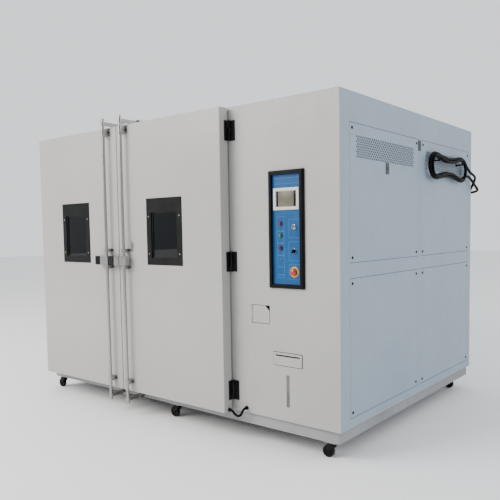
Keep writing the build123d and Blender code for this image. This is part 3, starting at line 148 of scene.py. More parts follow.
def pick_faces(piece, chosen):
    """Opens the piece in edit mode with only the faces selected that chosen(centre, normal) wants."""
    only(piece)
    bpy.ops.object.mode_set(mode="EDIT")
    bpy.ops.mesh.select_mode(type="FACE")
    bpy.ops.mesh.select_all(action="DESELECT")
    bpy.ops.object.mode_set(mode="OBJECT")
    for face in piece.data.polygons:
        face.select = chosen(face.center, face.normal)
    bpy.ops.object.mode_set(mode="EDIT")


def soften(piece, width, segments=2):
    """Rounds the piece's sharp edges and shades it smooth, except across its corners."""
    only(piece)
    bpy.ops.object.modifier_add(type="BEVEL")
    edge = piece.modifiers[-1]
    edge.width = width
    edge.segments = segments
    edge.limit_method = "ANGLE"
    bpy.ops.object.modifier_apply(modifier=edge.name)
    bpy.ops.object.shade_smooth_by_angle(angle=smooth_angle)
    return piece


def copied(piece, name, shift):
    """A copy with its own mesh, moved by shift."""
    twin = piece.copy()
    twin.data = piece.data.copy()
    twin.name = name
    bpy.context.scene.collection.objects.link(twin)
    twin.data.transform(Matrix.Translation(shift))
    return twin


def joined(name, pieces):
    """One piece out of several that are fixed together."""
    only(*pieces)
    bpy.ops.object.join()
    pieces[0].name = name
    return pieces[0]


# %% [markdown]
# The mains cable leaves the rear wall through a gland, comes round the rear corner and
# is wound in three long turns over two hooks on the side panel. A cable this thick is
# stiff: it lies in wide curves, droops between the hooks and hangs in a lobe beyond
# each. It could be a simulated rope, but the curve a person would draw is steadier: one
# NURBS line led by the route's points, sixteen to a turn, thickened into a tube.

# %% The mains cable
cable_radius = 0.010
inlet = [
    (1.253, 1.1645, 1.605), (1.253, 1.2065, 1.605), (1.279, 1.2545, 1.611), (1.329, 1.2825, 1.618),
    (1.389, 1.2705, 1.626), (1.427, 1.2225, 1.634), (1.439, 1.1605, 1.649), (1.438, 1.0965, 1.677),
    (1.437, 1.0325, 1.711), (1.435, 0.9665, 1.733), (1.431, 0.9065, 1.731),
]
outlet = [
    (1.441, 0.8945, 1.811), (1.438, 0.9445, 1.789), (1.437, 1.0125, 1.763), (1.438, 1.0805, 1.749),
    (1.429, 1.1465, 1.737), (1.409, 1.1965, 1.713), (1.379, 1.2165, 1.665), (1.351, 1.2085, 1.603),
    (1.331, 1.1865, 1.539), (1.323, 1.1725, 1.473), (1.323, 1.1725, 1.407),
]
loop_middle, loop_level = 0.5445, 1.773
loop_half, loop_waist = 0.338, 0.0365
turn_count, points_per_turn = 3, 16
change_from, change_over = 0.80, 0.20
bend_lift = 4
strand_x = (1.4265, 1.4480, 1.4375, 1.4375)
strand_growth = (0.0, -0.004, 0.0195, 0.0195)
strand_slack = (0.0, 0.010, 0.004, 0.004)


def along_turns(values, turns):
    """The value for this many turns, eased from one turn to the next at the change-over."""
    number = min(int(turns), turn_count - 1)
    ease = min(1, max(0, (turns - number - change_from) / change_over))
    return values[number] + (values[number + 1] - values[number]) * ease * ease * (3 - 2 * ease)


loop = []
for step in range(1, turn_count * points_per_turn):
    turns = step / points_per_turn
    turn = -2 * math.pi * turns
    growth = along_turns(strand_growth, turns)
    lift = math.sin(turn) * (1 + bend_lift * math.cos(turn) ** 2)
    y = loop_middle + (loop_half + growth) * math.cos(turn)
    z = loop_level + loop_waist * lift + growth * math.sin(turn)
    sag = along_turns(strand_slack, turns) * (1 - math.sin(turn)) / 2
    loop.append((along_turns(strand_x, turns), y, z - sag))


def cable(name, points, radius):
    """A smooth cable along these control points, with the length of its centreline."""
    curve = bpy.data.curves.new(name, "CURVE")
    curve.dimensions = "3D"
    line = curve.splines.new("NURBS")
    line.points.add(len(points) - 1)
    for control, point in zip(line.points, points):
        control.co = (*point, 1)
        control.radius = radius
    line.order_u = 3
    line.use_endpoint_u = True
    line.resolution_u = 8
    piece = bpy.data.objects.new(name, curve)
    bpy.context.scene.collection.objects.link(piece)
    bpy.context.view_layer.update()
    spots = [vertex.co.copy() for vertex in bpy.data.meshes.new_from_object(piece).vertices]
    length = sum((after - before).length for before, after in zip(spots, spots[1:]))
    curve.bevel_depth = 1.0
    curve.bevel_resolution = 4
    curve.use_fill_caps = True
    return piece, length


mains_cord, mains_length = cable("mains_cord", inlet + loop + outlet, cable_radius)
print("mains cable", round(mains_length, 3), "m")

# %% [markdown]
# At the rear wall a hexagon gland nut holds the cable, and a ribbed rubber boot keeps it
# from kinking. The far end is a round industrial plug, hanging behind the cabinet. Both
# are lathe work: a disc is extruded and resized step by step along its axis, and the
# nut is the same thing with six sides.

# %% The cable's ends
rear_wall = 1.1245
gland_place = (inlet[0][0], rear_wall, inlet[0][2])
nut_profile = [(0.0215, 0.0), (0.0215, 0.010), (0.0205, 0.012)]
boot_profile = [
    (0.0185, 0.012), (0.0185, 0.020), (0.0165, 0.022), (0.0165, 0.026), (0.0150, 0.028), (0.0150, 0.032),
    (0.0130, 0.034), (0.0125, 0.039),
]
rear_nut = turned("rear_nut", gland_place, "Y", nut_profile, sides=6)
rear_boot = turned("rear_boot", gland_place, "Y", boot_profile)
mains_gland = soften(joined("mains_gland", [rear_nut, rear_boot]), width=0.0008)

plug_x, plug_y, plug_top = outlet[-1]
plug_profile = [
    (0.0125, 0.0), (0.0160, -0.018), (0.0220, -0.022), (0.0220, -0.040), (0.0250, -0.044),
    (0.0285, -0.060), (0.0285, -0.092), (0.0300, -0.094), (0.0300, -0.118), (0.0275, -0.120),
    (0.0240, -0.120), (0.0240, -0.100),
]
pin_profile = [(0.003, -0.099), (0.003, -0.115), (0.002, -0.117)]
pin_count, pin_circle = 5, 0.014
mains_plug = soften(turned("mains_plug", outlet[-1], "Z", plug_profile, sides=40), width=0.0007)
plug_pins = []
for number in range(pin_count):
    turn = 2 * math.pi * number / pin_count
    spot = (plug_x + pin_circle * math.cos(turn), plug_y + pin_circle * math.sin(turn), plug_top)
    plug_pins.append(turned(f"plug_pin_{number}", spot, "Z", pin_profile, sides=12))
plug_contacts = joined("plug_contacts", plug_pins)

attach(mains_cord, "root")
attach(mains_gland, "root")
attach(mains_plug, "root")
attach(plug_contacts, "root")
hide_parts("mains_cable", "mains_cable_coil")
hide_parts("mains_cable_ends")
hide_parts("mains_cable_ends")

# %% [markdown]
# A short cable joins the right-hand door to the control section for the door's lamp and
# heater. It hangs in a V below its two glands, so that it can open out when the door
# swings. It is held at both ends; here it is one tube along the listed route, turned
# into a mesh.

# %% The door cable
door_route = [
    (0.618, -1.0205, 0.185), (0.635, -1.0205, 0.185), (0.653, -1.0185, 0.163), (0.678, -1.0155, 0.152),
    (0.702, -1.0135, 0.167), (0.715, -1.0135, 0.196), (0.721, -1.0015, 0.208), (0.721, -0.9855, 0.208),
]
door_wire_radius = 0.0075
door_wire, wire_length = cable("door_wire", door_route, door_wire_radius)
only(door_wire)
bpy.ops.object.convert(target="MESH")
door_wire = bpy.context.object
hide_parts("door_cable")
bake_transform(door_wire)
print("door cable", round(wire_length, 3), "m")

# %% [markdown]
# The studio: a wide pale floor, a pale sky, a large soft light high on the left
# for the fronts and a weaker cool one on the right for the side. Large lights give the
# soft edges of shade that painted sheet metal needs; a small hard one would show every
# flat sheet as one flat tone. The room is bright above and behind and dim behind the
# camera, so that glass, zinc and black paint have something dark to reflect.

# %% Floor and lights
floor_width = 60
floor_paper = (0.92, 0.92, 0.92, 1)
sky_tint = (0.95, 0.97, 1.0, 1)
sky_back = (0.0, 0.75, 0.66)
sky_from, sky_to = -0.55, 0.25
sky_dim, sky_bright = 0.30, 1.25

bpy.ops.object.select_all(action="DESELECT")
bpy.ops.mesh.primitive_plane_add(size=floor_width, location=(0, 0, 0))
floor = bpy.context.object
floor.name = "studio_floor"

floor_finish = bpy.data.materials.new("studio_floor_paper")
floor_finish.use_nodes = True
floor_shader = floor_finish.node_tree.nodes["Principled BSDF"]
floor_shader.inputs["Base Color"].default_value = floor_paper
floor_shader.inputs["Roughness"].default_value = 0.9
floor.data.materials.append(floor_finish)

sky = bpy.data.worlds.new("studio_sky")
bpy.context.scene.world = sky
sky.use_nodes = True
sky_nodes, sky_links = sky.node_tree.nodes, sky.node_tree.links
direction = sky_nodes.new("ShaderNodeTexCoord")
toward_back = sky_nodes.new("ShaderNodeVectorMath")
toward_back.operation = "DOT_PRODUCT"
toward_back.inputs[1].default_value = sky_back
room = sky_nodes.new("ShaderNodeMapRange")
room.inputs["From Min"].default_value = sky_from
room.inputs["From Max"].default_value = sky_to
room.inputs["To Min"].default_value = sky_dim
room.inputs["To Max"].default_value = sky_bright
sky_links.new(direction.outputs["Generated"], toward_back.inputs[0])
sky_links.new(toward_back.outputs["Value"], room.inputs["Value"])
sky_links.new(room.outputs["Result"], sky_nodes["Background"].inputs["Strength"])
sky_nodes["Background"].inputs["Color"].default_value = sky_tint


def soft_light(name, place, target, size, power, tint):
    """A large square light that looks at target."""
    bpy.ops.object.select_all(action="DESELECT")
    bpy.ops.object.light_add(type="AREA", location=place)
    lamp = bpy.context.object
    lamp.name = name
    lamp.data.size = size
    lamp.data.energy = power
    lamp.data.color = tint
    lamp.rotation_euler = (Vector(target) - Vector(place)).to_track_quat("-Z", "Y").to_euler()


soft_light("front_light", place=(-3.5, -7.0, 5.5), target=(-0.4, -1.0, 1.0), size=5.0, power=900,
           tint=(1.0, 0.97, 0.935))
soft_light("side_light", place=(7.5, 1.5, 4.5), target=(1.4, 0.2, 1.1), size=4.0, power=120,
           tint=(0.80, 0.90, 1.0))

# %% [markdown]
# Every finish here is one recipe with its own numbers. Slow noise shifts the colour a
# little, as sheets from different batches and hands do, finer noise varies the gloss,
# and the finest is a bump at the scale of the real grain: orange peel on powder coat,
# brush lines on stainless, spark marks on moulded plastic. The noise reads the piece's
# own coordinates in metres, so its grain has a real size and travels with the piece.

# %% The recipe for a finish
colour_detail, gloss_detail, grain_detail = 4.0, 5.0, 2.0
gloss_patches = 6


def blend_colour(tree, factor, first, second):
    """A colour mix node, driven by factor, between two colours or sockets."""
    mix = tree.nodes.new("ShaderNodeMix")
    mix.data_type = "RGBA"
    tree.links.new(factor, mix.inputs["Factor"])
    for socket, colour in ((mix.inputs["A"], first), (mix.inputs["B"], second)):
        if hasattr(colour, "node"):
            tree.links.new(colour, socket)
        else:
            socket.default_value = (*colour, 1)
    return mix.outputs["Result"]


def spread(tree, value, low, high, start=0.35, stop=0.65):
    """Maps a noise value onto the range low to high."""
    ranged = tree.nodes.new("ShaderNodeMapRange")
    tree.links.new(value, ranged.inputs["Value"])
    ranged.inputs["From Min"].default_value = start
    ranged.inputs["From Max"].default_value = stop
    ranged.inputs["To Min"].default_value = low
    ranged.inputs["To Max"].default_value = high
    return ranged.outputs["Result"]


def noise(tree, place, scale, detail, stretch):
    """Noise at so many waves a metre, squeezed by stretch along the axes."""
    mapping = tree.nodes.new("ShaderNodeMapping")
    mapping.inputs["Scale"].default_value = stretch
    tree.links.new(place, mapping.inputs["Vector"])
    cloud = tree.nodes.new("ShaderNodeTexNoise")
    cloud.inputs["Scale"].default_value = scale
    cloud.inputs["Detail"].default_value = detail
    tree.links.new(mapping.outputs["Vector"], cloud.inputs["Vector"])
    return cloud.outputs["Fac"]


def finish(name, dark, light, gloss, metal=0.0, patch=2.5, grain=420.0, depth=0.0001,
           stretch=(1, 1, 1), zones=(), seen_through=0.0, coat=0.0, shine=0.5):
    """Colour between dark and light, roughness between the two gloss values, and a grain of that depth.
    Each zone is (axis, low, high, colour, metal): a band of the piece that has another paint."""
    material = bpy.data.materials.new(name)
    material.use_nodes = True
    tree = material.node_tree
    shader = tree.nodes["Principled BSDF"]
    place = tree.nodes.new("ShaderNodeTexCoord").outputs["Object"]
    slow = noise(tree, place, patch, colour_detail, stretch)
    cloudy = noise(tree, place, gloss_patches * patch, gloss_detail, stretch)
    fine = noise(tree, place, grain, grain_detail, stretch)
    colour = blend_colour(tree, spread(tree, slow, 0, 1), dark, light)
    shader.inputs["Metallic"].default_value = metal
    for axis, low, high, paint, zone_metal in zones:
        parts = tree.nodes.new("ShaderNodeSeparateXYZ")
        tree.links.new(place, parts.inputs["Vector"])
        band = tree.nodes.new("ShaderNodeMath")
        band.operation = "COMPARE"
        tree.links.new(parts.outputs[axis], band.inputs[0])
        band.inputs[1].default_value = (low + high) / 2
        band.inputs[2].default_value = (high - low) / 2
        colour = blend_colour(tree, band.outputs["Value"], colour, paint)
        metallic = spread(tree, band.outputs["Value"], metal, zone_metal, 0, 1)
        tree.links.new(metallic, shader.inputs["Metallic"])
    tree.links.new(colour, shader.inputs["Base Color"])
    tree.links.new(spread(tree, cloudy, *gloss), shader.inputs["Roughness"])
    bump = tree.nodes.new("ShaderNodeBump")
    bump.inputs["Distance"].default_value = depth
    bump.inputs["Strength"].default_value = 1.0
    tree.links.new(fine, bump.inputs["Height"])
    tree.links.new(bump.outputs["Normal"], shader.inputs["Normal"])
    shader.inputs["Transmission Weight"].default_value = seen_through
    shader.inputs["Coat Weight"].default_value = coat
    shader.inputs["Specular IOR Level"].default_value = shine
    material.diffuse_color = (*light, 1)
    return material


# %% [markdown]
# The palette. The cabinet's coat is a warm light grey on the front. The sides carry a
# darker, bluer copy of the same coat, which is painted shade: the cool sky shade on the
# side faces is painted into their colour. The plinth is darker. Zinc plate is bright with
# cloudy gloss, stainless steel is drawn with lines along the sheet, and castings are
# black with a coarse skin. Some nodes carry two paints, such as a black hinge leaf beside
# zinc guides: a zone is the band along one axis that has the other paint.

# %% The palette
black = (0.004, 0.004, 0.0045)
grey_dark, grey_light = (0.385, 0.380, 0.370), (0.415, 0.410, 0.400)
left_grip_zone = ("X", -0.62, -0.5475, black, 0.0)
left_hinge_zone = ("X", -1.45, -1.38, black, 0.0)
left_block_zone = ("X", -0.4536, -0.395, black, 0.0)
right_hinge_zone = ("X", 0.59, 0.66, black, 0.0)
keeper_zone = ("X", -0.56, -0.22, (0.44, 0.44, 0.42), 1.0)
inner_tray_zone = ("Y", -0.9915, -0.90, (0.58, 0.58, 0.57), 1.0)

grey_coat = finish("grey_powder_coat", grey_dark, grey_light, (0.38, 0.50), shine=0.4)
# Painted shade: the side faces' coat is the front coat made darker and bluer, with the cool sky shade on the
# sides painted into the colour.
sky_shaded_side_coat = finish("side_coat_painted_sky_shade", (0.275, 0.340, 0.400), (0.300, 0.366, 0.428), (0.38, 0.50), shine=0.4)
plinth_coat = finish("plinth_coat", (0.25, 0.25, 0.255), (0.31, 0.31, 0.315), (0.45, 0.6), shine=0.4)
drawn_steel = finish("drawn_stainless", (0.56, 0.56, 0.56), (0.61, 0.61, 0.60), (0.30, 0.36), metal=1.0,
                     patch=1.5, grain=260, depth=0.00002, stretch=(1, 1, 0.02))
zinc_numbers = {"dark": (0.36, 0.355, 0.34), "light": (0.39, 0.385, 0.37), "gloss": (0.30, 0.34),
                "metal": 1.0, "patch": 1, "grain": 700, "depth": 0.0}
zinc_plate = finish("zinc_plate", **zinc_numbers)
left_rod_metal = finish("left_rod_metal", **zinc_numbers, zones=[left_grip_zone])
right_rod_metal = finish("right_rod_metal", **zinc_numbers)
left_fitting_metal = finish("left_fitting_metal", **zinc_numbers, shine=0.3,
                            zones=[left_hinge_zone, left_block_zone])
right_fitting_metal = finish("right_fitting_metal", **zinc_numbers, shine=0.3, zones=[right_hinge_zone])
cabinet_fitting_metal = finish("cabinet_fitting_metal", black, (0.008, 0.008, 0.009), (0.36, 0.5),
                               patch=14, grain=700, shine=0.12, zones=[keeper_zone])
door_metal = finish("door_metal", grey_dark, grey_light, (0.34, 0.40), shine=0.4, patch=1.0, depth=0.00004,
                    zones=[inner_tray_zone])
fan_plate = finish("fan_plate", (0.44, 0.45, 0.46), (0.60, 0.61, 0.62), (0.3, 0.45),
                   metal=1.0, patch=9, grain=500)
black_skin = finish("black_casting", (0.003, 0.003, 0.0035), (0.009, 0.009, 0.010), (0.42, 0.6),
                    patch=16, grain=650, depth=0.00022, shine=0.12)
black_mould = finish("black_moulding", (0.003, 0.003, 0.0035), (0.007, 0.007, 0.008), (0.36, 0.5),
                     patch=8, grain=1400, depth=0.00008, shine=0.10)
seal_skin = finish("seal_rubber", (0.010, 0.010, 0.010), (0.022, 0.022, 0.023), (0.6, 0.8),
                   patch=10, grain=900, shine=0.25)
cable_skin = finish("cable_sheath", (0.0015, 0.0015, 0.002), (0.0035, 0.0035, 0.004), (0.40, 0.55),
                    patch=12, grain=1100, depth=0.00006, shine=0.05)
tyre_skin = finish("tyre_rubber", (0.005, 0.005, 0.005), (0.014, 0.0135, 0.013), (0.5, 0.72),
                   patch=22, grain=800, shine=0.15)
foam_skin = finish("cut_foam", (0.62, 0.52, 0.30), (0.78, 0.69, 0.46), (0.8, 0.95),
                   patch=12, grain=300, depth=0.0012)
frame_coat = finish("window_frame_coat", (0.006, 0.0065, 0.0065), (0.010, 0.0105, 0.0105), (0.40, 0.52),
                    patch=9, grain=900, depth=0.0001, shine=0.12)
catch_coat = finish("catch_coat", (0.030, 0.040, 0.038), (0.055, 0.068, 0.064), (0.4, 0.55),
                    patch=30, grain=800, shine=0.4)
screw_coat = finish("screw_black_oxide", black, (0.010, 0.010, 0.011), (0.32, 0.45),
                    patch=60, grain=1500, depth=0.00004, shine=0.15)
bright_ring = finish("bright_ring", (0.62, 0.62, 0.62), (0.74, 0.74, 0.73), (0.14, 0.26), metal=1.0,
                     patch=30, grain=1500, depth=0.00002)
dark_ring = finish("dark_ring", (0.030, 0.030, 0.040), (0.055, 0.055, 0.065), (0.30, 0.42), metal=0.6,
                   patch=30, grain=1500, depth=0.00002)
white_mould = finish("white_moulding", (0.55, 0.545, 0.515), (0.61, 0.605, 0.575), (0.36, 0.48),
                     patch=8, grain=1300, shine=0.35)
panel_blue = finish("blue_overlay", (0.001, 0.066, 0.205), (0.002, 0.082, 0.245), (0.34, 0.46),
                    patch=7, grain=1500, depth=0.00005, shine=0.3)
pale_print = finish("pale_print", (0.070, 0.22, 0.46), (0.10, 0.26, 0.52), (0.4, 0.5), patch=20, grain=1500)
red_mould = finish("red_mushroom", (0.36, 0.012, 0.008), (0.46, 0.020, 0.014), (0.22, 0.34),
                   patch=30, grain=1600, depth=0.00004, coat=0.3)
violet_mould = finish("violet_lens", (0.13, 0.020, 0.085), (0.19, 0.030, 0.12), (0.16, 0.26),
                      patch=40, coat=0.4)
green_mould = finish("green_lens", (0.006, 0.20, 0.09), (0.012, 0.27, 0.13), (0.16, 0.26),
                     patch=40, coat=0.4)
plum_mould = finish("plum_lens", (0.040, 0.012, 0.060), (0.065, 0.020, 0.085), (0.16, 0.26),
                    patch=40, coat=0.4)
yellow_mould = finish("yellow_ring", (0.62, 0.36, 0.010), (0.70, 0.43, 0.020), (0.3, 0.42),
                      patch=30, grain=1300)
window_tint = finish("tinted_glass", (0.004, 0.0055, 0.0065), (0.007, 0.009, 0.011), (0.008, 0.03),
                     patch=1.2, grain=2, depth=0.00005, seen_through=0.45)
clear_mould = finish("sight_glass_moulding", (0.10, 0.105, 0.10), (0.16, 0.165, 0.155), (0.12, 0.22),
                     patch=9, grain=60, depth=0.00005, seen_through=0.15)
# Painted shade: a near-black sheet colour for the dark seen through the vent holes.
hole_shade_sheet = finish("hole_shade_sheet", (0.004, 0.0045, 0.005), (0.010, 0.0105, 0.011), (0.8, 0.95),
                      patch=40, grain=900, depth=0.0005, shine=0.05)
print(len(bpy.data.materials), "finishes so far")

# %% Finishes onto the construction model
# The outer panels, side frame and lower side panels take the side coat with its painted sky shade.
node_finishes = {
    "base_frame": plinth_coat, "outer_panels": sky_shaded_side_coat, "front_frame": grey_coat,
    "insulation": foam_skin, "inner_liner": drawn_steel, "control_front": grey_coat,
    "service_box": zinc_plate, "sight_glass": clear_mould, "control_bezel": black_mould,
    "control_panel": panel_blue, "side_frame": sky_shaded_side_coat, "lower_side_panels": sky_shaded_side_coat,
    "cabinet_fittings": cabinet_fitting_metal, "door_gasket": seal_skin, "cable_port": drawn_steel,
    "air_baffle": drawn_steel, "air_handler": zinc_plate, "refrigeration_unit": black_skin,
    "left_door_shell": door_metal, "right_door_shell": door_metal, "left_door_core": foam_skin,
    "right_door_core": foam_skin, "left_window_frame": frame_coat, "right_window_frame": frame_coat,
    "left_window_glass": window_tint, "right_window_glass": window_tint,
    "left_door_fittings": left_fitting_metal, "right_door_fittings": right_fitting_metal,
    "left_lock_rod": left_rod_metal, "right_lock_rod": right_rod_metal,
    "push_button_upper": violet_mould, "push_button_middle": green_mould,
    "push_button_lower": plum_mould, "key_switch": bright_ring, "rotary_selector": black_mould,
    "estop_button": red_mould, "access_flap": grey_coat, "water_drawer": grey_coat,
    "circulation_fan_left": fan_plate, "circulation_fan_right": fan_plate,
}
for node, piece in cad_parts.items():
    if node.startswith("caster_fork"):
        node_finishes[node] = black_skin
    if node.startswith("caster_wheel"):
        node_finishes[node] = tyre_skin
for node, material in node_finishes.items():
    for paint_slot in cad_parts[node].material_slots:
        paint_slot.material = material
print(len(node_finishes), "construction nodes have their finish")


def paint(piece, material):
    """Gives a new piece this finish alone."""
    piece.data.materials.clear()
    piece.data.materials.append(material)


def dress(piece, body, material, slot, *nodes):
    """Gives a new piece its finish and the body that carries it, and hides the nodes it stands for."""
    paint(piece, material)
    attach(piece, body)
    if nodes:
        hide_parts(*nodes)


cable_pieces = (
    (mains_cord, cable_skin, "black_cable"), (door_wire, cable_skin, "black_cable"),
    (mains_gland, black_mould, "black_plastic"), (mains_plug, black_mould, "black_plastic"),
    (plug_contacts, zinc_plate, "zinc"),
)
for piece, material, slot in cable_pieces:
    paint(piece, material)

# %% [markdown]
# The two upper side panels breathe for the machines behind them. Near the top of each
# is a field of nine staggered rows of small punched holes. Drawing the holes as a dark
# pattern would fall flat in a close view, so they are cut: one small cutter is modelled,
# repeated in rows with Array modifiers, and subtracted from the sheet in one go. Each
# cutter has eight sides, which is round enough for a 14 mm hole. A near-black sheet lies
# just behind the field as painted shade: it stands for the shade inside the cabinet, so
# the holes are dark as they are on the machine.

# %% Perforated plates
sheet_in, sheet_out = 1.401, 1.403
plate_spans = {"front": (-0.8635, 0.0745), "rear": (0.1245, 1.0625)}
plate_z = (1.140, 1.931)
punch_behind, punch_depth = 0.002, 0.006
hole_radius, hole_sides = 0.0072, 8
hole_pitch, row_pitch, row_count = 0.0240, 0.01425, 9
first_row, long_row = 1.746, 33
shade_sheet_back, shade_sheet_front, shade_sheet_border = sheet_in - 0.0022, sheet_in - 0.0002, 0.02


def hole_rows(name, y, z, across, rows):
    """A field of hole cutters: one drum, repeated along the row and then upwards."""
    drum_profile = [(hole_radius, 0), (hole_radius, punch_depth)]
    drum = turned(name, (sheet_in - punch_behind, y, z), "X", drum_profile, sides=hole_sides)
    only(drum)
    for count, step in ((across, (0, hole_pitch, 0)), (rows, (0, 0, 2 * row_pitch))):
        bpy.ops.object.modifier_add(type="ARRAY")
        field = drum.modifiers[-1]
        field.count = count
        field.use_relative_offset = False
        field.use_constant_offset = True
        field.constant_offset_displace = step
        bpy.ops.object.modifier_apply(modifier=field.name)
    return drum


for where, (y_low, y_high) in plate_spans.items():
    plate = block(f"{where}_vent_plate", (sheet_in, y_low, plate_z[0]), (sheet_out, y_high, plate_z[1]))
    middle = (y_low + y_high) / 2
    start = middle - hole_pitch * (long_row - 1) / 2
    even = hole_rows(f"{where}_even_rows", start, first_row, long_row, (row_count + 1) // 2)
    odd = hole_rows(f"{where}_odd_rows", start + hole_pitch / 2, first_row + row_pitch,
                    long_row - 1, row_count // 2)
    punch = joined(f"{where}_punch", [even, odd])
    only(plate)
    bpy.ops.object.modifier_add(type="BOOLEAN")
    cut = plate.modifiers[-1]
    cut.object = punch
    cut.operation = "DIFFERENCE"
    cut.solver = "EXACT"
    bpy.ops.object.modifier_apply(modifier=cut.name)
    bpy.data.objects.remove(punch)
    # The vent plate takes the side coat with its painted sky shade.
    dress(plate, "root", sky_shaded_side_coat, "grey_paint", "upper_side_panels")
    print(plate.name, len(plate.data.polygons), "faces")
    field_low, field_high = start - shade_sheet_border, middle + (middle - start) + shade_sheet_border
    last_row = first_row + row_pitch * (row_count - 1)
    # A near-black sheet behind the hole field, as painted shade for the dark inside of the cabinet.
    shade_sheet = block(f"{where}_hole_shade_sheet", (shade_sheet_back, field_low, first_row - shade_sheet_border),
                  (shade_sheet_front, field_high, last_row + shade_sheet_border))
    dress(soften(shade_sheet, width=0.0006), "root", hole_shade_sheet, "seal_rubber")

# %% [markdown]
# Two hooks of round bar carry the cable turns. Each is bent up at its tip and welded to
# a small round flange. The bar is a disc extruded along its path, turned a little at
# each step of the bend, which keeps its section round.

# %% Cable hooks
hook_radius, hook_reach, hook_tip = 0.006, 0.074, 0.022
hook_spots = ((0.3145, 1.8073), (0.7865, 1.8087))
hook_weld, tip_taper = 0.003, 0.7
bend_radius, bend_steps = 0.009, 5
bend_angle = math.pi / 2 / bend_steps
flange_profile = [(0.0132, 0), (0.0132, 0.003), (0.0118, 0.004), (0.0075, 0.0045)]
for number, (y, z) in enumerate(hook_spots, 1):
    flange = turned(f"hook_flange_{number}", (sheet_out, y, z), "X", flange_profile, sides=28)
    straight = hook_reach - hook_radius - bend_radius
    bar = turned(f"hook_bar_{number}", (sheet_out + hook_weld, y, z), "X",
                 [(hook_radius, 0), (hook_radius, straight - hook_weld)], sides=20)
    pick_faces(bar, lambda centre, normal: normal.x > 0.9)
    bend_centre = Vector((sheet_out + straight, y, z + bend_radius))
    for step in range(bend_steps):
        bpy.ops.mesh.extrude_region_move(TRANSFORM_OT_translate={"value": (0, 0, 0)})
        bpy.ops.transform.rotate(value=-bend_angle, orient_axis="Y", center_override=bend_centre)
    bpy.ops.mesh.extrude_region_move(TRANSFORM_OT_translate={"value": (0, 0, hook_tip - bend_radius)})
    bpy.ops.transform.resize(value=(tip_taper, tip_taper, tip_taper))
    bpy.ops.object.mode_set(mode="OBJECT")
    top = max(vertex.co.z for vertex in bar.data.vertices)
    hook = soften(joined(f"cable_hook_{number}", [bar, flange]), width=0.0006)
    dress(hook, "root", screw_coat, "dark_fastener", "upper_side_panels")
    print(hook.name, "tip at", round(top, 4))

# %% [markdown]
# Screws and flat catches hold the removable side panels. A screw is a low domed head
# with a socket, lathed once and copied to every corner. The two catches are dark plates
# with a round turn-lock in the middle, each with its coin slot.

# %% Panel screws and catches
screw_rows = {"lower": (0.265, 1.019), "upper": (1.168, 1.903)}
screw_columns = (-0.8355, 0.0465, 0.1525, 1.0345)
head_profile = [
    (0.0090, 0), (0.0090, 0.0016), (0.0070, 0.0033), (0.0045, 0.0038), (0.0042, 0.0038), (0.0040, 0.0016),
]
first_y, first_z = screw_columns[0], screw_rows["lower"][0]
first_head = turned("panel_screw", (sheet_out, first_y, first_z), "X", head_profile, sides=24)
soften(first_head, width=0.0003, segments=1)
heads = [first_head]
for y in screw_columns:
    for z in (*screw_rows["lower"], *screw_rows["upper"]):
        shift = Vector((0, y - first_y, z - first_z))
        if shift.length > 0:
            heads.append(copied(first_head, "panel_screw_copy", shift))
dress(joined("panel_screws", heads), "root", screw_coat, "dark_fastener", "panel_fasteners")

catch_places = ((-0.3935, 1.703), (0.0935, 1.892))
catch_wide, catch_tall, catch_thick = 0.0215, 0.035, 0.003
boss_foot, slot_wide, slot_tall, slot_top = 0.002, 0.0015, 0.008, 0.0042
boss_profile = [(0.0135, 0), (0.0135, 0.0016), (0.0120, 0.0022), (0.0105, 0.0022), (0.0105, 0.0012)]
catches = []
for number, (y, z) in enumerate(catch_places, 1):
    plate = block(f"catch_plate_{number}", (sheet_out, y - catch_wide, z - catch_tall),
                  (sheet_out + catch_thick, y + catch_wide, z + catch_tall))
    soften(plate, width=0.0008)
    boss = turned(f"catch_boss_{number}", (sheet_out + boss_foot, y, z), "X", boss_profile, sides=28)
    soften(boss, width=0.0003, segments=1)
    slot_bar = block(f"catch_slot_{number}", (sheet_out + catch_thick, y - slot_wide, z - slot_tall),
                     (sheet_out + slot_top, y + slot_wide, z + slot_tall))
    catches.append(joined(f"panel_catch_{number}", [plate, boss, slot_bar]))
dress(joined("panel_catches", catches), "root", catch_coat, "dark_fastener", "panel_fasteners")
print(len(heads), "screws and", len(catches), "catches")

# %% [markdown]
# The operator's display stands in the head of the blue panel: a moulded white case with
# wide bars above and below, and a recessed liquid-crystal screen between two dark strips.
# The case is a block whose front face is inset and pushed back, so that the recess has
# real walls. The screen's own finish is a faint grid of cells, drawn by two waves.

# %% Display case and screen
case_low, case_high = Vector((0.955, -0.9855, 1.450)), Vector((1.138, -0.9185, 1.580))
screen_low, screen_high = (0.9762, 1.4702), (1.1168, 1.5598)
face_y = case_low.y
case_rim, case_step, strip_wide = 0.018, 0.0035, 0.014
display_case = block("display_case", case_low, case_high)
pick_faces(display_case, lambda centre, normal: normal.y < -0.9)
bpy.ops.mesh.inset(thickness=case_rim)
bpy.ops.mesh.extrude_region_move(TRANSFORM_OT_translate={"value": (0, case_step, 0)})
bpy.ops.object.mode_set(mode="OBJECT")
soften(display_case, width=0.0022, segments=3)
dress(display_case, "root", white_mould, "white_plastic", "display_unit")

screen_front, screen_back = face_y + 0.0018, face_y + 0.0045
glass_low, glass_high = screen_low[0] + strip_wide, screen_high[0] - strip_wide
strips = []
for side, (x_low, x_high) in enumerate(((screen_low[0], glass_low), (glass_high, screen_high[0]))):
    strips.append(block(f"screen_strip_{side}", (x_low, screen_front, screen_low[1]),
                        (x_high, screen_back, screen_high[1])))
dress(soften(joined("screen_strips", strips), width=0.0005), "root", black_mould, "black_plastic")


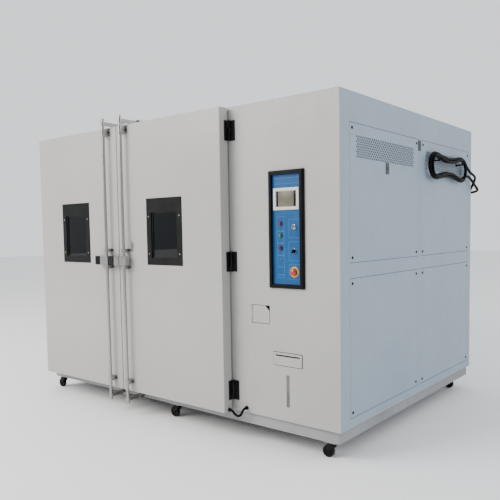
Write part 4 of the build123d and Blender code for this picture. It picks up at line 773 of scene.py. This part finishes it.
def liquid_crystal():
    """Grey-green screen with a faint grid of cells, from one wave across it and one upwards."""
    cell_scale, cell_edge, cell_depth, grid_colour = 90, 0.75, 0.25, (0.10, 0.10, 0.08)
    material = finish("liquid_crystal", (0.135, 0.125, 0.095), (0.165, 0.155, 0.120), (0.22, 0.30),
                      patch=18, grain=30, depth=0.00002, shine=0.2)
    tree = material.node_tree
    shader = tree.nodes["Principled BSDF"]
    glass_colour = shader.inputs["Base Color"].links[0].from_socket
    place = tree.nodes.new("ShaderNodeTexCoord").outputs["Object"]
    for axis in ("X", "Z"):
        wave = tree.nodes.new("ShaderNodeTexWave")
        wave.bands_direction = axis
        wave.inputs["Scale"].default_value = cell_scale
        tree.links.new(place, wave.inputs["Vector"])
        line = spread(tree, wave.outputs["Fac"], 0, cell_depth, cell_edge, 1.0)
        glass_colour = blend_colour(tree, line, glass_colour, grid_colour)
    tree.links.new(glass_colour, shader.inputs["Base Color"])
    return material


screen = block("display_screen", (glass_low, screen_front, screen_low[1]),
               (glass_high, screen_back, screen_high[1]))
dress(soften(screen, width=0.0004), "root", liquid_crystal(), "dark_glass")

# %% [markdown]
# Below it the switches stand in two columns. Each has a ring with a shoulder and a
# recess for its button, dark round the buttons and bright round the key and the
# selector; the emergency stop has a broad yellow plate. Rings are lathe work: up the
# rim from the foot, over it and down inside.

# %% Switch rings
panel_face = -0.9785
left_column, right_column = 1.002, 1.101
button_levels = {"upper": 1.371, "middle": 1.300, "lower": 1.225}
knob_levels = {"key": 1.349, "selector": 1.208}
stop_level, pilot_level = 1.085, 1.154
ring_radius, button_bore, knob_bore = 0.0150, 0.0098, 0.0124
stop_radius, stop_bore = 0.0320, 0.0205
ring_height = 0.0040
pilot_profile = [(0.0080, 0.001), (0.0080, -0.0010), (0.0066, -0.0022), (0.0035, -0.0028)]


def switch_ring(name, x, z, outer, bore):
    """A ring that stands on the panel with a rounded rim and a bore down to the panel."""
    profile = [(outer, 0.002), (outer, -ring_height * 0.55), (outer * 0.93, -ring_height),
               (bore * 1.08, -ring_height), (bore, -ring_height * 0.85), (bore, 0.001)]
    ring = turned(name, (x, panel_face, z), "Y", profile, 36)
    return soften(ring, width=0.0005)


button_rings = [switch_ring(f"ring_{which}", left_column, z, ring_radius, button_bore)
                for which, z in button_levels.items()]
knob_rings = [switch_ring(f"ring_{which}", right_column, z, ring_radius, knob_bore)
              for which, z in knob_levels.items()]
dress(joined("button_rings", button_rings), "root", dark_ring, "switch_metal", "switch_collars")
dress(joined("knob_rings", knob_rings), "root", bright_ring, "switch_metal", "switch_collars")
stop_ring = switch_ring("stop_ring", right_column, stop_level, stop_radius, stop_bore)
dress(stop_ring, "root", yellow_mould, "white_plastic", "switch_collars")
pilot_dot = turned("pilot_dot", (left_column, panel_face, pilot_level), "Y", pilot_profile, sides=28)
dress(soften(pilot_dot, width=0.0003), "root", plum_mould, "black_plastic", "switch_collars")

# %% [markdown]
# The blue overlay is screen-printed with pale rules that group the switches. Printed
# ink has no depth to speak of, but a rule as a hair-thin strip keeps a crisp edge at
# any distance. A box of rules is four strips; no words are printed.

# %% Printed rules
rule = 0.0009
ink_front, ink_back = panel_face - 0.00025, panel_face + 0.0005
panel_rules, panel_span = (1.636, 1.604, 1.015), (0.952, 1.141)
button_edges = (1.414, 1.326, 1.255, 1.182, 1.114, 1.066, 1.047)
button_span, button_gap = (0.978, 1.028), 0.001
knob_boxes, knob_span = ((1.286, 1.395), (1.152, 1.264), (1.041, 1.129)), (1.062, 1.140)
tick_turns, tick_radius = (-45, 0, 45), 0.021
tick_wide, tick_tall = 0.0013, 0.0022
rules = []


def ruled_line(x_low, x_high, z_low, z_high):
    """One strip of ink between these edges."""
    rules.append(block("rule", (x_low, ink_front, z_low), (x_high, ink_back, z_high)))


def ruled_box(x_low, x_high, z_low, z_high):
    """Four strips round a rectangle."""
    for z in (z_low, z_high - rule):
        ruled_line(x_low, x_high, z, z + rule)
    for x in (x_low, x_high - rule):
        ruled_line(x, x + rule, z_low + rule, z_high - rule)


for z in panel_rules:
    ruled_line(*panel_span, z, z + rule)
for upper, lower in zip(button_edges, button_edges[1:]):
    ruled_box(*button_span, lower + button_gap, upper - button_gap)
for z_low, z_high in knob_boxes:
    ruled_box(*knob_span, z_low, z_high)
for turn in (math.radians(degrees) for degrees in tick_turns):
    x = right_column + tick_radius * math.sin(turn)
    z = knob_levels["selector"] + tick_radius * math.cos(turn)
    ruled_line(x - tick_wide, x + tick_wide, z - tick_tall, z + tick_tall)
dress(joined("printed_rules", rules), "root", pale_print, "white_plastic")
print("panel rules", len(rules))

# %% [markdown]
# Thin strips with the dark seal-rubber finish lie in the level gaps above and below each
# side panel and in the gaps round the flap and the water drawer, and a dark strip lines
# the drawer's finger groove. They are painted shade: the shade that falls into each gap
# and into the groove. Each set is a few slim blocks, joined and softened. It draws the
# dark line by which a panel is seen.

# %% Painted shade strips in the gaps
lower_plate_z = (0.237, 1.047)
side_gap_depth, flap_gap_depth, drawer_gap_depth = (1.4012, 1.4035), (-0.9763, -0.9752), (-0.9768, -0.9752)
flap_x, flap_z = (0.7735, 0.9100), (0.7620, 0.8720)
drawer_x, drawer_z = (0.9407, 1.1463), (0.5167, 0.5953)


def gap_shading(name, normal, depth, across, upright, wide, sides=2):
    """Slim bars at the foot and head of an opening that faces along normal, and on 0 to 2 of its sides."""
    full = (across[0] - wide, across[1] + wide)
    bars = [(full, (upright[0] - wide, upright[0])), (full, (upright[1], upright[1] + wide)),
            ((across[1], across[1] + wide), upright), ((across[0] - wide, across[0]), upright)][:2 + sides]
    pieces = []
    for level, tall in bars:
        spans = (depth, level, tall) if normal == "X" else (level, depth, tall)
        pieces.append(block("gap_shading_bar", [span[0] for span in spans], [span[1] for span in spans]))
    return soften(joined(name, pieces), width=0.0003, segments=1)


gap_shadings = []
for which, y_span in plate_spans.items():
    for row, z_span in (("upper", plate_z), ("lower", lower_plate_z)):
        name = f"{row}_{which}_panel_gap_shading"
        gap_shadings.append(gap_shading(name, "X", side_gap_depth, y_span, z_span, wide=0.0026, sides=0))
gap_shadings.append(gap_shading("flap_gap_shading", "Y", flap_gap_depth, flap_x, flap_z, wide=0.0020, sides=1))
gap_shadings.append(gap_shading("drawer_gap_shading", "Y", drawer_gap_depth, drawer_x, drawer_z, wide=0.0028))
# Each strip takes the dark seal finish as painted shade in its gap.
for rubber in gap_shadings:
    dress(rubber, "root", seal_skin, "seal_rubber")
# A near-black strip in the drawer's finger groove, as painted shade for the shade that lies in the groove.
groove = block("drawer_groove_shade", (0.9555, -0.9786, 0.5735), (1.1315, -0.9776, 0.5815))
dress(soften(groove, width=0.0003, segments=1), "water_drawer", black_mould, "black_plastic")
print("edging at four panels, the flap and the drawer")

# %% [markdown]
# Small fasteners tell the eye how big a machine is. Domed screws hold the hinge leaves
# and the window frames, and hexagon bolts hold the rod guides. Each kind is modelled
# once and copied to its places.

# %% Hinge, window and guide fasteners
hinge_middles, leaf_rows = (1.958, 1.137, 0.310), (-0.045, -0.016, 0.016, 0.045)
cabinet_leaf_x, cabinet_leaf_y = (0.643, -1.430), -0.9805
right_leaf_x, left_leaf_x, door_leaf_y = 0.613, -1.400, -1.009
rod_places = {"left": -0.4905, "right": -0.2965}
guide_spans = ((0.231, 0.265), (1.070, 1.094), (1.192, 1.216), (2.035, 2.087))
door_face, guide_thick, bolt_across = -1.0655, 0.005, 0.0245
bolt_profile = [(0.0058, 0), (0.0058, -0.0034), (0.0050, -0.0040)]
window_middles = {"left": -0.915, "right": 0.089}
frame_face, frame_screw_x, frame_screw_z = -1.0695, (-0.1505, 0.1505), (1.182, 1.440)
hinge_screw_radius, frame_screw_radius = 0.0045, 0.0048


def domed_screw(name, spot, axis, way, radius):
    """A domed head with a round drive recess, facing way along the axis."""
    profile = [(radius, 0), (radius, way * 0.0008), (radius * 0.72, way * 0.0019),
               (radius * 0.40, way * 0.0022), (radius * 0.36, way * 0.0009)]
    return turned(name, spot, axis, profile, sides=16)


def spread_over(first, name, spots):
    """The first piece with a copy at each further spot, joined."""
    start = Vector(spots[0])
    copies = [copied(first, name + "_copy", Vector(spot) - start) for spot in spots[1:]]
    return joined(name, [first] + copies)


cabinet_spots, left_spots, right_spots = [], [], []
for middle in hinge_middles:
    for z in (middle + row for row in leaf_rows):
        cabinet_spots += [(x, cabinet_leaf_y, z) for x in cabinet_leaf_x]
        right_spots.append((right_leaf_x, door_leaf_y, z))
        left_spots.append((left_leaf_x, door_leaf_y, z))
for name, body, axis, way, spots in (("cabinet_hinge_screws", "root", "Y", -1, cabinet_spots),
                                     ("right_hinge_screws", "right_door", "X", 1, right_spots),
                                     ("left_hinge_screws", "left_door", "X", -1, left_spots)):
    first = domed_screw("hinge_head", spots[0], axis, way, hinge_screw_radius)
    dress(spread_over(first, name, spots), body, screw_coat, "dark_fastener")

for which, x_rod in rod_places.items():
    spots = [(x, door_face - guide_thick, (low + high) / 2)
             for low, high in guide_spans for x in (x_rod - bolt_across, x_rod + bolt_across)]
    bolt = turned("guide_bolt", spots[0], "Y", bolt_profile, sides=6)
    bolts = spread_over(soften(bolt, width=0.0003, segments=1), f"{which}_guide_bolts", spots)
    dress(bolts, f"{which}_door", screw_coat, "dark_fastener")

for which, middle in window_middles.items():
    spots = [(middle + across, frame_face, z) for across in frame_screw_x for z in frame_screw_z]
    first = domed_screw("frame_screw", spots[0], "Y", -1, frame_screw_radius)
    dress(spread_over(first, f"{which}_window_screws", spots), f"{which}_door", zinc_plate, "zinc")

# %% [markdown]
# Round each pane runs a glazing bead of black rubber: two upright bars and two level
# ones between them, joined and given a rounded lip.

# %% Glazing beads
pane_half, pane_low, pane_high = 0.1268, 1.1532, 1.4688
bead_wide, bead_lap, bead_round = 0.007, 0.001, 0.00132
bead_front, bead_back = frame_face + 0.010, frame_face + 0.0168
for which, middle in window_middles.items():
    left_edge, right_edge = middle - pane_half, middle + pane_half
    bars = []
    for x_low, x_high in ((left_edge - bead_lap, left_edge + bead_wide),
                          (right_edge - bead_wide, right_edge + bead_lap)):
        bars.append(block("bead_side", (x_low, bead_front, pane_low), (x_high, bead_back, pane_high)))
    for z_low, z_high in ((pane_low - bead_lap, pane_low + bead_wide),
                          (pane_high - bead_wide, pane_high + bead_lap)):
        bars.append(block("bead_end", (left_edge, bead_front, z_low), (right_edge, bead_back, z_high)))
    bead = soften(joined(f"{which}_glazing_bead", bars), bead_round)
    dress(bead, f"{which}_door", seal_skin, "seal_rubber")

# %% [markdown]
# Last come the small plate beside the right-hand rod and the ribbed sleeve of the black
# hand grip.

# %% Rod-side plate and grip ribs
plate_front, plate_back = door_face - 0.0022, door_face + 0.0002
side_plate = block("rod_side_plate", (-0.257, plate_front, 1.195), (-0.229, plate_back, 1.275))
dress(soften(side_plate, width=0.0009), "right_door", zinc_plate, "zinc")

first_rib, rib_pitch, rib_wide, rib_count = -0.606, 0.0065, 0.0034, 9
rib_y, rib_z = (-1.1245, -1.0925), (1.100, 1.160)
ribs = []
for number in range(rib_count):
    x = first_rib + rib_pitch * number
    ribs.append(block("grip_rib", (x, rib_y[0], rib_z[0]), (x + rib_wide, rib_y[1], rib_z[1])))
grip_ribs = soften(joined("grip_ribs", ribs), width=0.0010)
dress(grip_ribs, "left_lock", black_mould, "black_plastic")
